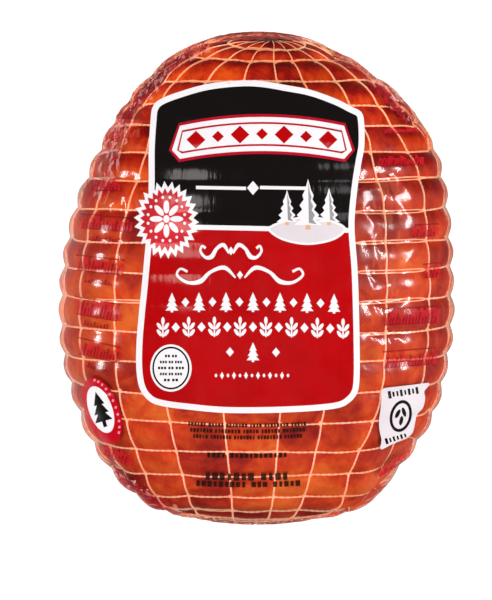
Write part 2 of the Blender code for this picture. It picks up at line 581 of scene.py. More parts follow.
def veil(p):
    """0 to 1, how far the film hides the net at points p."""
    x, y = LOOK_X + p[:, 0] / PIXEL, LOOK_Y - p[:, 1] / PIXEL
    total = np.zeros(len(p))
    for cx, cy, rx, ry, angle in VEILED:
        c, s = math.cos(math.radians(angle)), math.sin(math.radians(angle))
        u, v = ((x - cx) * c + (y - cy) * s) / rx, (-(x - cx) * s + (y - cy) * c) / ry
        total = np.maximum(total, np.exp(-((u * u + v * v) ** 1.5)))
    return total * smooth(0.05, 0.07, p[:, 2])


def on_meat(place, turn, lift):
    """Points just over the meat, for a line of places and angles."""
    p = loaf(place, turn, CENTRE)
    lift = lift - 0.0013 * veil(p)
    n = loaf_normals(place, turn)
    out = []
    for point, normal, above in zip(p, n, lift):
        start = Vector(point + normal * 0.012)
        hit, _, _, _ = meat_tree.ray_cast(start, Vector(-normal), 0.03)
        if hit is None:
            hit, _, _, _ = meat_tree.find_nearest(Vector(point))
        out.append(np.array(hit) + normal * above)
    out = np.array(out)
    out[:, 2] = np.maximum(out[:, 2], 0.0010)
    return out, n


def relax(points, closed, times):
    for _ in range(times):
        if closed:
            points = 0.5 * points + 0.25 * (np.roll(points, 1, 0) + np.roll(points, -1, 0))
        else:
            mid = 0.5 * points[1:-1] + 0.25 * (points[:-2] + points[2:])
            points = np.concatenate([points[:1], mid, points[-1:]])
    return points


def resample(points, closed, step):
    if closed:
        points = np.concatenate([points, points[:1]])
    d = np.concatenate([[0], np.cumsum(np.linalg.norm(np.diff(points, axis=0), axis=1))])
    count = max(8, int(round(d[-1] / step)))
    at = np.linspace(0, d[-1], count + 1)
    if closed:
        at = at[:-1]
    return np.stack([np.interp(at, d, points[:, i]) for i in range(3)], axis=1), at


def tube(points, closed, radius, sides, ups, twist=None):
    """Rings of points around a path. radius is a number or one per point, twist gives the lobes' angle."""
    if closed:
        tangent = np.roll(points, -1, 0) - np.roll(points, 1, 0)
    else:
        tangent = np.gradient(points, axis=0)
    tangent /= np.linalg.norm(tangent, axis=1)[:, None]
    side = np.cross(tangent, ups)
    side /= np.linalg.norm(side, axis=1)[:, None]
    up = np.cross(side, tangent)
    radius = np.broadcast_to(radius, len(points))
    angle = np.arange(sides) / sides * 2 * math.pi
    r = radius[:, None] * np.ones(sides)
    if twist is not None:
        r = r * (1 + 0.17 * np.cos(2 * (angle[None, :] - twist[:, None])))
    verts = points[:, None, :] + r[..., None] * (
        np.cos(angle)[None, :, None] * side[:, None, :] + np.sin(angle)[None, :, None] * up[:, None, :]
    )
    n = len(points)
    rows = n if closed else n - 1
    i, j = np.meshgrid(np.arange(rows), np.arange(sides), indexing="ij")
    i2, j2 = (i + 1) % n, (j + 1) % sides
    quads = np.stack([i * sides + j, i * sides + j2, i2 * sides + j2, i2 * sides + j], axis=-1).reshape(-1, 4)
    verts = verts.reshape(-1, 3)
    tris = np.zeros((0, 3), int)
    if not closed:
        caps = len(verts)
        verts = np.concatenate([verts, [points[0], points[-1]]])
        j = np.arange(sides)
        j2 = (j + 1) % sides
        tris = np.concatenate(
            [
                np.stack([np.full(sides, caps), j2, j], axis=-1),
                np.stack([np.full(sides, caps + 1), (n - 1) * sides + j, (n - 1) * sides + j2], axis=-1),
            ]
        )
    return verts, quads, tris


class Batch:
    """Many small meshes joined into one."""

    def __init__(self):
        self.verts, self.quads, self.tris, self.count = [], [], [], 0

    def add(self, verts, quads, tris=None):
        self.verts.append(verts)
        self.quads.append(np.asarray(quads).reshape(-1, 4) + self.count)
        if tris is not None and len(tris):
            self.tris.append(np.asarray(tris).reshape(-1, 3) + self.count)
        self.count += len(verts)

    def object(self, name):
        tris = np.concatenate(self.tris) if self.tris else None
        return mesh_object(name, np.concatenate(self.verts), np.concatenate(self.quads), tris)


def loaf_ups(points):
    """Outward directions of the loaf at points near it."""
    mid = np.array([0.0, WAIST_Y, MID_HEIGHT])
    flat = np.array([1 / HALF_WIDTH**2, 1 / 0.15**2, 1 / HALF_DEPTH**2])
    n = (points - mid) * flat
    return n / np.linalg.norm(n, axis=1)[:, None]


STRAND_R = 0.00038
THREAD_R = 0.00056
rings_batch, threads_batch, knots_batch = Batch(), Batch(), Batch()
for k, place in enumerate(RINGS):
    angle = np.linspace(-math.pi, math.pi, 300, endpoint=False)
    drift = 0.0005 * np.sin(angle * 2 + k * 1.7) + 0.0004 * np.sin(angle * 5 + k * 2.9)
    at_place, at_turn = from_net(np.full_like(angle, place), angle, "ring")
    pts, _ = on_meat(np.clip(at_place + drift, 0.0005, LENGTH - 0.0005), at_turn, 0.00065)
    pts, run = resample(relax(pts, True, 3), True, 0.0016)
    ups = loaf_ups(pts)
    ahead = np.roll(pts, -1, 0) - np.roll(pts, 1, 0)
    ahead /= np.linalg.norm(ahead, axis=1)[:, None]
    across = np.cross(ahead, ups)
    # two strands, laid around each other, which part here and there
    apart = smooth(0.35, 0.75, noise(pts, 0.05, 41 + k))
    right_side = (pts[:, 0] > 0.060) & (pts[:, 0] < 0.100) & (pts[:, 1] > -0.02) & (pts[:, 1] < 0.065) & (pts[:, 2] > 0.07)
    apart = np.maximum(apart, relax(right_side.astype(float)[:, None], True, 8)[:, 0])
    lay_angle = 2 * math.pi * np.round(run[-1] / 0.0075) * run / (run[-1] + 0.0016)
    for half in (0, math.pi):
        round_off = 0.00028 * (1 - apart)
        side_off = round_off * np.cos(lay_angle + half) + (1 if half else -1) * apart * 0.00088
        up_off = round_off * np.sin(lay_angle + half)
        strand = pts + across * side_off[:, None] + ups * up_off[:, None]
        verts, quads, tris = tube(strand, True, STRAND_R * (1 + 0.12 * np.sin(run / 0.0021 + k)), 6, ups)
        rings_batch.add(verts, quads)

for j, turn in enumerate(THREAD_TURNS):
    net_place = np.linspace(0.0028, LENGTH - 0.0028, 330)
    sway = 0.0007 * np.sin(net_place / 0.037 + j * 2.1) + 0.0004 * np.sin(net_place / 0.0131 + j)
    reach = np.maximum(share_of(net_place), 0.08) * HALF_WIDTH
    at_place, at_turn = from_net(net_place, turn + sway * smooth(0.05, 0.3, share_of(net_place)) / reach, "thread")
    pts, _ = on_meat(at_place, at_turn, 0.00065)
    pts, run = resample(relax(pts, False, 3), False, 0.0014)
    thin = 0.42 + 0.58 * smooth(0.004, 0.050, np.minimum(run, run[-1] - run))
    r = THREAD_R * thin * (1 + 0.16 * np.sin(run / 0.0031 * 2 * math.pi))
    verts, quads, tris = tube(pts, False, r, 8, loaf_ups(pts))
    threads_batch.add(verts, quads, tris)


def ball(centre, radii, axes, rings=6, sides=8):
    """A small closed ellipsoid, for a knot."""
    lat = np.linspace(0, math.pi, rings + 1)[1:-1]
    lon = np.arange(sides) / sides * 2 * math.pi
    la, lo = np.meshgrid(lat, lon, indexing="ij")
    local = np.stack([np.sin(la) * np.cos(lo), np.sin(la) * np.sin(lo), np.cos(la)], -1).reshape(-1, 3)
    local = np.concatenate([local, [[0, 0, 1], [0, 0, -1]]]) * radii
    verts = centre + local @ axes
    n = rings - 1
    r, c = np.meshgrid(np.arange(n - 1), np.arange(sides), indexing="ij")
    c2 = (c + 1) % sides
    quads = np.stack([r * sides + c, (r + 1) * sides + c, (r + 1) * sides + c2, r * sides + c2], -1).reshape(-1, 4)
    k = np.arange(sides)
    k2 = (k + 1) % sides
    tris = np.concatenate(
        [
            np.stack([np.full(sides, n * sides), k, k2], -1),
            np.stack([np.full(sides, n * sides + 1), (n - 1) * sides + k2, (n - 1) * sides + k], -1),
        ]
    )
    return verts, quads, tris


def crossings():
    """Where threads cross rings: net places are known in two ways, so each crossing is found along the thread."""
    found = []
    for turn in THREAD_TURNS:
        net_place = np.linspace(0.003, LENGTH - 0.003, 1500)
        at_place, at_turn = from_net(net_place, np.full_like(net_place, turn), "thread")
        ring_place, _ = to_net(at_place, at_turn, "ring")
        for ring in RINGS:
            change = np.nonzero((ring_place[:-1] - ring) * (ring_place[1:] - ring) < 0)[0]
            for i in change[:1]:
                found.append((at_place[i], at_turn[i]))
    return np.array(found)


cross = crossings()
cross_points, cross_normals = on_meat(cross[:, 0], cross[:, 1], 0.00075)
for (place, turn), point, normal in zip(cross, cross_points, cross_normals):
    along = loaf(np.array(place + 0.001), np.array(turn)) - loaf(np.array(place - 0.001), np.array(turn))
    along /= np.linalg.norm(along)
    across = np.cross(normal, along)
    size = (0.70 + 0.45 * abs(math.sin(place * 911 + turn * 37))) * float(0.35 + 0.65 * smooth(0.10, 0.55, share_of(place)))
    axes = np.array([across, along, np.cross(across, along)])
    knots_batch.add(*ball(point, np.array([0.00105, 0.0014, 0.0008]) * size, axes))

net_rings = rings_batch.object("net_rings")
net_threads = threads_batch.object("net_long_threads")
net_knots = knots_batch.object("net_knots")

# ---------------------------------------------------------------- print, laid onto the film from the photo's side
film_tree = BVHTree.FromObject(film, bpy.context.evaluated_depsgraph_get())
film_verts = np.empty(len(film.data.vertices) * 3, dtype=np.float32)
film.data.vertices.foreach_get("co", film_verts)
film_verts = film_verts.reshape(-1, 3)
film_norms = np.empty(len(film.data.vertices) * 3, dtype=np.float32)
film.data.vertices.foreach_get("normal", film_norms)
film_norms = film_norms.reshape(-1, 3)
EYE = np.array([(FRAME_W / 2 - LOOK_X) * PIXEL, (LOOK_Y - FRAME_H / 2) * PIXEL, CAMERA_HEIGHT])


def onto_film(pixels, lift):
    """Points on the film under pixels of the photograph's frame, lifted along the film's normal, and whether the
    pixel meets the film at all."""
    out, norms, met = [], [], []
    polys = film.data.polygons
    for px, py in pixels:
        aim = np.array([EYE[0] + (px - FRAME_W / 2) * PIXEL, EYE[1] + (FRAME_H / 2 - py) * PIXEL, MID_HEIGHT])
        ray = aim - EYE
        ray /= np.linalg.norm(ray)
        hit, normal, index, _ = film_tree.ray_cast(Vector(EYE), Vector(ray))
        met.append(hit is not None)
        if hit is None:
            out.append(aim)
            norms.append(np.array([0.0, 0.0, 1.0]))
            continue
        corners = list(polys[index].vertices)
        w = poly_3d_calc([Vector(film_verts[i]) for i in corners], hit)
        n = sum(film_norms[i] * k for i, k in zip(corners, w))
        n = n / np.linalg.norm(n)
        out.append(np.array(hit) + n * lift)
        norms.append(n)
    return np.array(out), np.array(norms), np.array(met)


def dense(poly, step):
    """Points along a closed outline, no further apart than step."""
    poly = np.asarray(poly, float)
    out = []
    for a, b in zip(poly, np.roll(poly, -1, 0)):
        n = max(1, int(math.ceil(np.linalg.norm(b - a) / step)))
        for i in range(n):
            out.append(a + (b - a) * i / n)
    return np.array(out)


def inside(poly, pts):
    poly = np.asarray(poly)
    x, y = pts[:, 0], pts[:, 1]
    hit = np.zeros(len(pts), bool)
    low, high = poly.min(0), poly.max(0)
    near = np.nonzero((x >= low[0]) & (x <= high[0]) & (y >= low[1]) & (y <= high[1]))[0]
    if not len(near):
        return hit
    xs, ys = x[near], y[near]
    inner = np.zeros(len(near), bool)
    for (x1, y1), (x2, y2) in zip(poly, np.roll(poly, -1, 0)):
        if y1 == y2:
            continue
        cond = ((y1 > ys) != (y2 > ys)) & (xs < (x2 - x1) * (ys - y1) / (y2 - y1) + x1)
        inner ^= cond
    hit[near] = inner
    return hit


def lay(name, shapes, lift, step=2.2):
    """One mesh of flat shapes laid on the film. shapes is a list of (outline in pixels, ink), later ones on top;
    an ink of None cuts a hole. Inks are materials."""
    loops = [dense(s, step) for s, _ in shapes]
    verts, edges = [], []
    for loop in loops:
        start = len(verts)
        verts += [tuple(v) for v in loop]
        edges += [(start + i, start + (i + 1) % len(loop)) for i in range(len(loop))]
    every = np.concatenate(loops)
    low, high = every.min(0), every.max(0)
    xs = np.arange(low[0] + step / 2, high[0], step)
    ys = np.arange(low[1] + step / 2, high[1], step * 0.87)
    gx, gy = np.meshgrid(xs, ys)
    gx = gx + (np.arange(len(ys)) % 2)[:, None] * step / 2
    seeds = np.stack([gx.ravel(), gy.ravel()], 1)
    keep = np.zeros(len(seeds), bool)
    for s, _ in shapes:
        keep |= inside(s, seeds)
    seeds = seeds[keep]
    # keep seeds away from the outlines, so that no triangle is a sliver
    cell = step * 0.5
    taken = set()
    for v in every:
        cx, cy = int(v[0] // cell), int(v[1] // cell)
        taken.add((cx, cy))
    ok = [
        i
        for i, s in enumerate(seeds)
        if not any((int(s[0] // cell) + a, int(s[1] // cell) + b) in taken for a in (-1, 0, 1) for b in (-1, 0, 1))
    ]
    seeds = seeds[ok] if len(ok) else np.zeros((0, 2))
    verts += [tuple(s) for s in seeds]
    out_v, _, out_f, *_ = delaunay_2d_cdt([Vector(v) for v in verts], edges, [], 0, 1e-5)
    pts = np.array([tuple(v) for v in out_v])
    faces = np.array([f for f in out_f if len(f) == 3])
    mid = pts[faces].mean(1)
    ink = np.full(len(faces), -1)
    inks = []
    for s, material in shapes:
        if material is None:
            index = -1
        else:
            if material not in inks:
                inks.append(material)
            index = inks.index(material)
        ink[inside(s, mid)] = index
    a, b, c = pts[faces[:, 0]], pts[faces[:, 1]], pts[faces[:, 2]]
    area = (b[:, 0] - a[:, 0]) * (c[:, 1] - a[:, 1]) - (b[:, 1] - a[:, 1]) * (c[:, 0] - a[:, 0])
    good = (ink >= 0) & (np.abs(area) > 1e-4)
    faces, ink, area = faces[good], ink[good], area[good]
    faces[area > 0] = faces[area > 0][:, ::-1]  # pixels run downwards, so this turns every face up
    used = np.unique(faces)
    back = np.full(len(pts), -1)
    back[used] = np.arange(len(used))
    where, norms, met = onto_film(pts[used], lift)
    good = met[back[faces]].all(1)
    faces, ink = faces[good], ink[good]
    ob = mesh_object(name, where, None, back[faces])
    for material in inks:
        ob.data.materials.append(material)
    ob.data.polygons.foreach_set("material_index", ink.astype(np.int32))
    ob.data.normals_split_custom_set_from_vertices([tuple(n) for n in norms])
    ob.data.update()
    return ob


# ---------------------------------------------------------------- flat shapes, in pixels of the frame
def spline(points, per=8, closed=True):
    """A smooth line through a few points."""
    p = np.asarray(points, float)
    n = len(p)
    out = []
    for i in range(n if closed else n - 1):
        p0, p1, p2, p3 = (
            p[(i - 1) % n] if closed or i > 0 else p[0],
            p[i],
            p[(i + 1) % n],
            p[(i + 2) % n] if closed or i + 2 < n else p[-1],
        )
        for t in np.arange(per) / per:
            out.append(
                0.5 * (2 * p1 + (p2 - p0) * t + (2 * p0 - 5 * p1 + 4 * p2 - p3) * t**2 + (3 * p1 - p0 - 3 * p2 + p3) * t**3)
            )
    if not closed:
        out.append(p[-1])
    return np.array(out)


def inset(poly, by):
    """An outline moved inwards by a distance."""
    poly = np.asarray(poly, float)
    ahead, behind = np.roll(poly, -2, 0), np.roll(poly, 2, 0)
    d = ahead - behind
    d /= np.linalg.norm(d, axis=1)[:, None]
    n = np.stack([-d[:, 1], d[:, 0]], 1)
    area = np.sum(poly[:, 0] * np.roll(poly[:, 1], -1) - np.roll(poly[:, 0], -1) * poly[:, 1])
    return poly + n * by * (1 if area > 0 else -1)


def ellipse(x, y, rx, ry, angle=0.0, n=48, start=0.0):
    a = np.arange(n) / n * 2 * math.pi + start
    c, s = math.cos(math.radians(angle)), math.sin(math.radians(angle))
    u, v = rx * np.cos(a), ry * np.sin(a)
    return np.stack([x + u * c - v * s, y + u * s + v * c], 1)


def block(x, y, w, h, angle=0.0, bow=None):
    """A small upright bar with its centre at x, y."""
    c, s = math.cos(math.radians(angle)), math.sin(math.radians(angle))
    pts = np.array([[-w / 2, -h / 2], [w / 2, -h / 2], [w / 2, h / 2], [-w / 2, h / 2]])
    return np.stack([x + pts[:, 0] * c - pts[:, 1] * s, y + pts[:, 0] * s + pts[:, 1] * c], 1)


def bars(x0, x1, y_of, height, words, bar, gap, space):
    """A line of plain bars between x0 and x1: words is how many bars stand in each group."""
    total = sum(words) * bar + (sum(words) - len(words)) * gap + (len(words) - 1) * space
    k = (x1 - x0) / total
    x, out = x0, []
    for w in words:
        for i in range(w):
            cx = x + bar * k / 2
            slope = math.degrees(math.atan2(y_of(cx + 2) - y_of(cx - 2), 4))
            out.append(block(cx, y_of(cx), bar * k, height, slope))
            x += bar * k + (gap * k if i < w - 1 else space * k)
    return out


def star(x, y, rx, ry, points, depth, turn=0.0):
    a = np.arange(points * 2) / (points * 2) * 2 * math.pi + turn
    r = np.where(np.arange(points * 2) % 2 == 0, 1.0, 1.0 - depth)
    return np.stack([x + rx * r * np.cos(a), y + ry * r * np.sin(a)], 1)


# ---------------------------------------------------------------- materials
class Nodes:
    def __init__(self, name):
        self.mat = bpy.data.materials.new(name)
        self.mat.use_nodes = True
        self.nt = self.mat.node_tree
        self.shader = self.nt.nodes["Principled BSDF"]
        self.out = self.nt.nodes["Material Output"]
        self.coord = self.nt.nodes.new("ShaderNodeTexCoord").outputs["Object"]

    def put(self, value, socket):
        if isinstance(value, bpy.types.NodeSocket):
            self.nt.links.new(value, socket)
        elif value is not None:
            if hasattr(socket.default_value, "__len__") and not isinstance(value, (int, float)):
                n = len(socket.default_value)
                value = tuple(value) + (1.0,) * (n - len(value))
            socket.default_value = value

    def node(self, kind, settings=None, **inputs):
        n = self.nt.nodes.new("ShaderNode" + kind)
        for key, value in (settings or {}).items():
            setattr(n, key, value)
        for key, value in inputs.items():
            self.put(value, n.inputs[key.replace("_", " ")])
        return n

    def noise(self, scale, detail=3.0, rough=0.55, vector=None, distortion=0.0):
        n = self.node("TexNoise", Scale=scale, Detail=detail, Roughness=rough, Distortion=distortion)
        self.put(vector or self.coord, n.inputs["Vector"])
        return n.outputs["Fac"]

    def stretch(self, x, y, z):
        n = self.node("Mapping")
        self.put(self.coord, n.inputs["Vector"])
        n.inputs["Scale"].default_value = (x, y, z)
        return n.outputs["Vector"]

    def math(self, operation, a, b=None, c=None, clamp=False):
        n = self.nt.nodes.new("ShaderNodeMath")
        n.operation = operation
        n.use_clamp = clamp
        for socket, value in zip(n.inputs, (a, b, c)):
            self.put(value, socket)
        return n.outputs[0]

    def remap(self, value, a, b, c=0.0, d=1.0, smooth_step=False):
        n = self.node("MapRange")
        n.interpolation_type = "SMOOTHSTEP" if smooth_step else "LINEAR"
        for socket, v in zip(n.inputs[:5], (value, a, b, c, d)):
            self.put(v, socket)
        return n.outputs[0]

    def mix(self, fac, a, b, blend="MIX"):
        n = self.nt.nodes.new("ShaderNodeMix")
        n.data_type = "RGBA"
        n.blend_type = blend
        self.put(fac, n.inputs[0])
        self.put(a, n.inputs[6])
        self.put(b, n.inputs[7])
        return n.outputs[2]

    def ramp(self, value, stops):
        n = self.nt.nodes.new("ShaderNodeValToRGB")
        marks = n.color_ramp.elements
        while len(marks) < len(stops):
            marks.new(0.5)
        for mark, (place, colour) in zip(marks, stops):
            mark.position = place
            mark.color = (*colour, 1.0)
        self.put(value, n.inputs[0])
        return n.outputs[0]

    def bump(self, height, strength, distance, normal=None):
        n = self.node("Bump", Strength=strength, Distance=distance)
        self.put(height, n.inputs["Height"])
        if normal is not None:
            self.put(normal, n.inputs["Normal"])
        return n.outputs["Normal"]

    def set(self, **inputs):
        for key, value in inputs.items():
            self.put(value, self.shader.inputs[key.replace("_", " ")])


def height_share(m, low, high):
    """0 to 1 along the loaf, from the foot towards the top."""
    parts = m.node("SeparateXYZ")
    m.put(m.coord, parts.inputs[0])
    return m.remap(parts.outputs[1], low, high, 0.0, 1.0, True)


def meat_material():
    m = Nodes("smoked_meat_painted_shade_and_sheen")
    parts = m.node("SeparateXYZ")
    m.put(m.node("Attribute", {"attribute_name": "cell"}).outputs["Vector"], parts.inputs[0])
    up, ring, own = parts.outputs
    parts = m.node("SeparateXYZ")
    m.put(m.node("Attribute", {"attribute_name": "tint"}).outputs["Vector"], parts.inputs[0])
    dark, pale, warm = parts.outputs
    upper = height_share(m, -0.01, 0.09)
    broad = m.noise(24, 3, 0.55, distortion=0.5)
    mid = m.noise(72, 4, 0.60, distortion=0.9)
    drip = m.noise(85, 3, 0.55, m.stretch(2.4, 0.5, 1.2), 0.3)
    fine = m.noise(320, 3, 0.6)

    def swing(value, by):
        return m.math("MULTIPLY", m.math("SUBTRACT", value, 0.5), by)

    # one tone, from deep red to light orange: patches, drips of glaze, and painted shade in the upper part of each
    # cell, under the ring above
    tone = m.math("ADD", swing(broad, 1.25), swing(mid, 0.90))
    tone = m.math("ADD", tone, m.math("MULTIPLY", swing(drip, 0.50), m.remap(upper, 0.0, 1.0, 0.15, 1.0)))
    # painted shade: each cell darker towards the ring above it, more in some cells and towards the upper end
    shade = m.remap(up, 0.10, 1.0, 0.12, -0.34, True)
    shade = m.math("MULTIPLY", shade, m.remap(own, 0.0, 1.0, 0.55, 1.15))
    shade = m.math("MULTIPLY", shade, m.remap(upper, 0.0, 1.0, 0.40, 1.0))
    tone = m.math("ADD", tone, shade)
    tone = m.math("ADD", tone, swing(own, 0.32))
    tone = m.math("ADD", tone, m.math("MULTIPLY", warm, 0.12))
    tone = m.math("ADD", tone, m.math("MULTIPLY", dark, -0.40))
    # painted groove shade: darker right next to the rings
    tone = m.math("ADD", tone, m.remap(ring, 0.0, 0.16, -0.06, 0.0))
    tone = m.math("ADD", tone, m.remap(fine, 0.3, 0.7, -0.03, 0.03))
    tone = m.math("ADD", tone, m.remap(upper, 0.0, 1.0, 0.58, 0.53))
    lower = m.ramp(
        tone,
        [(0.10, (0.28, 0.010, 0.010)), (0.36, (0.52, 0.033, 0.014)), (0.60, (0.77, 0.088, 0.017)), (0.88, (0.90, 0.22, 0.036))],
    )
    higher = m.ramp(
        tone,
        [(0.08, (0.16, 0.0008, 0.0004)), (0.36, (0.42, 0.0050, 0.0006)), (0.62, (0.73, 0.043, 0.0014)), (0.90, (0.94, 0.14, 0.006))],
    )
    colour = m.mix(upper, lower, higher)
    plum = m.math("MULTIPLY", dark, m.remap(mid, 0.42, 0.58, 0.25, 0.75, True))
    colour = m.mix(plum, colour, (0.13, 0.004, 0.020))
    # painted sheen: the film's milky reflection, painted as paler meat where the film is loose or bridges the grooves
    colour = m.mix(m.math("MULTIPLY", pale, 0.75), colour, (0.80, 0.145, 0.066))
    height = m.math("ADD", m.math("MULTIPLY", mid, 0.6), m.math("MULTIPLY", fine, 0.4))
    m.set(
        Base_Color=colour,
        Roughness=m.remap(mid, 0.3, 0.8, 0.34, 0.5),
        Specular_IOR_Level=0.08,
        Normal=m.bump(height, 0.5, 0.0006),
    )
    return m.mat


def net_material():
    m = Nodes("net_yarn_painted_glow")
    upper = height_share(m, 0.0, 0.11)
    stain = m.noise(60, 3)
    fibre = m.noise(900, 2, 0.6)
    pale = m.mix(upper, (0.84, 0.70, 0.60), (1.0, 0.68, 0.40))
    deep = m.mix(upper, (0.84, 0.50, 0.34), (1.0, 0.46, 0.22))
    colour = m.mix(m.remap(stain, 0.40, 0.62), pale, deep)
    colour = m.mix(m.remap(fibre, 0.40, 0.8, 0.0, 0.15), colour, (0.92, 0.46, 0.20))
    m.set(
        Base_Color=colour,
        Roughness=0.6,
        Specular_IOR_Level=0.3,
        Normal=m.bump(fibre, 0.4, 0.0003),
        # painted light: the yarn glows by itself, so that its lines stay bright in the grooves under the film
        Emission_Color=(1.0, 0.49, 0.24),
        Emission_Strength=0.47,
    )
    return m.mat


def wrinkle_normal(m, strength=1.0):
    """Fine crinkles of thin stretched film."""
    a = m.noise(150, 3, 0.55, m.stretch(1.0, 0.55, 1.0), 0.8)
    ridge = m.math("ABSOLUTE", m.math("SUBTRACT", a, 0.5))
    b = m.noise(420, 2, 0.5)
    patch = m.remap(m.noise(28, 2), 0.42, 0.62, 0.15, 1.0, True)
    h = m.math("ADD", m.math("MULTIPLY", m.math("MULTIPLY", ridge, -2.0), patch), m.math("MULTIPLY", b, 0.10))
    return m.bump(h, 0.045 * strength, 0.0010)


def film_material():
    m = Nodes("clear_film")
    nt = m.nt
    nt.nodes.remove(m.shader)
    normal = wrinkle_normal(m)
    fresnel = m.node("Fresnel", IOR=1.52)
    m.put(normal, fresnel.inputs["Normal"])
    parts = m.node("SeparateXYZ")
    m.put(m.node("Attribute", {"attribute_name": "calm"}).outputs["Vector"], parts.inputs[0])
    fac = m.math("MULTIPLY", fresnel.outputs[0], m.math("SUBTRACT", 1.0, parts.outputs[0]))
    clear = m.node("BsdfTransparent", Color=(0.985, 0.965, 0.965, 1.0))
    gloss = m.node("BsdfGlossy", Color=(1.0, 0.98, 0.98, 1.0), Roughness=0.14)
    m.put(normal, gloss.inputs["Normal"])
    mix = nt.nodes.new("ShaderNodeMixShader")
    m.put(fac, mix.inputs[0])
    nt.links.new(clear.outputs[0], mix.inputs[1])
    nt.links.new(gloss.outputs[0], mix.inputs[2])
    nt.links.new(mix.outputs[0], m.out.inputs["Surface"])
    return m.mat


# flat inks of the print; the same material also draws painted highlights and painted sheen of the film
def ink_and_painted_light_material(name, colour, vary=0.10, alpha=1.0, rough=0.10, shine=0.4):
    m = Nodes(name)
    cloud = m.noise(30, 3)
    darker = tuple(c * (1 - vary) for c in colour)
    m.set(
        Base_Color=m.mix(m.remap(cloud, 0.35, 0.65), colour, darker),
        Roughness=m.remap(m.noise(80, 2), 0.3, 0.7, rough, rough * 1.6),
        Specular_IOR_Level=shine,
        Normal=m.bump(m.noise(260, 2, 0.5, m.stretch(1.0, 0.05, 1.0)), 0.24, 0.0010, wrinkle_normal(m, 1.15)),
    )
    if alpha < 1:
        m.shader.inputs["Alpha"].default_value = alpha
    return m.mat


WHITE = ink_and_painted_light_material("ink_white", (0.77, 0.74, 0.76), 0.04)
BLACK = ink_and_painted_light_material("ink_black", (0.007, 0.005, 0.005))
RED = ink_and_painted_light_material("ink_red", (0.42, 0.0004, 0.0018), 0.14)
ROSE = ink_and_painted_light_material("ink_rose", (0.56, 0.018, 0.030), 0.25)
TAN = ink_and_painted_light_material("ink_tan", (0.72, 0.40, 0.22), 0.15)
GREY = ink_and_painted_light_material("ink_grey", (0.30, 0.29, 0.31), 0.15)
CREAM = ink_and_painted_light_material("ink_cream", (0.64, 0.58, 0.61), 0.06)
FINE = ink_and_painted_light_material("ink_fine", (0.022, 0.007, 0.005), 0.10, 0.93)
SIDE = ink_and_painted_light_material("ink_side", (0.28, 0.0012, 0.010), 0.15, 0.74)
WASH = ink_and_painted_light_material("ink_wash", (0.62, 0.004, 0.016), 0.15, 0.58, 0.20, 0.2)
PLUM = ink_and_painted_light_material("ink_plum", (0.13, 0.003, 0.014), 0.25, 0.50, 0.30, 0.1)
CRIMSON = ink_and_painted_light_material("ink_deep_red", (0.52, 0.004, 0.012), 0.25, 0.58, 0.30, 0.1)
# painted highlight: small pink-white flecks of light on crinkled film
PAINTED_HIGHLIGHT_FLECK = ink_and_painted_light_material("painted_highlight_fleck", (0.95, 0.44, 0.37), 0.15, 0.55, 0.25, 0.3)
VEIL = ink_and_painted_light_material("ink_veil", (0.44, 0.008, 0.020), 0.35, 0.38, 0.30, 0.1)
# painted sheen: pinkish milky reflection of the film
PAINTED_SHEEN_HAZE = ink_and_painted_light_material("painted_sheen_haze", (0.84, 0.24, 0.16), 0.30, 0.28, 0.30, 0.1)
MAUVE = ink_and_painted_light_material("ink_mauve", (0.62, 0.050, 0.065), 0.30, 0.50, 0.30, 0.15)
# painted sheen: faint milky streaks of light on the film
PAINTED_SHEEN_MIST = ink_and_painted_light_material("painted_sheen_mist", (0.92, 0.25, 0.15), 0.30, 0.13, 0.30, 0.1)
# painted highlight: soft pink-white streaks of light on crinkled film
PAINTED_HIGHLIGHT_STREAK = ink_and_painted_light_material("painted_highlight_streak", (1.0, 0.42, 0.38), 0.20, 0.30, 0.30, 0.1)
# painted sheen: pale pink reflection of the film
PAINTED_SHEEN_PINK = ink_and_painted_light_material("painted_sheen_pink", (1.0, 0.50, 0.47), 0.15, 0.34, 0.30, 0.2)
GARNET = ink_and_painted_light_material("ink_garnet", (0.26, 0.002, 0.008), 0.25, 0.55, 0.30, 0.1)
PEARL = ink_and_painted_light_material("ink_pearl", (0.98, 0.50, 0.32), 0.15, 0.48, 0.25, 0.3)
CHERRY = ink_and_painted_light_material("ink_cherry", (0.52, 0.0010, 0.010), 0.18)
ROSE_PALE = ink_and_painted_light_material("ink_rose_pale", (0.72, 0.30, 0.36), 0.15)


# ---------------------------------------------------------------- the label
def label_outline():
    pts = [
        (150.5, 122), (152.5, 108), (160, 99.5), (182, 91), (208, 84), (239, 80.6), (262, 81.2), (286, 85.2),
        (311, 90), (336, 99), (351, 106.5), (361, 112), (364, 122), (364.4, 145), (361.5, 162), (358, 184),
        (355, 212), (354.6, 232), (357.4, 268), (358.8, 306), (359.6, 346), (359.6, 376), (357.5, 392),
        (350, 402), (338, 408), (310, 411.2), (266, 413), (223, 412.8), (188, 409.6), (164, 406.4), (150, 401.5),
        (140.5, 390), (136.6, 372), (136.4, 346), (138.8, 315), (141.8, 286), (144, 262), (146.2, 238), (148.2, 205),
        (148.8, 180), (148.8, 150),
    ]  # fmt: skip
    return spline(pts, 5)


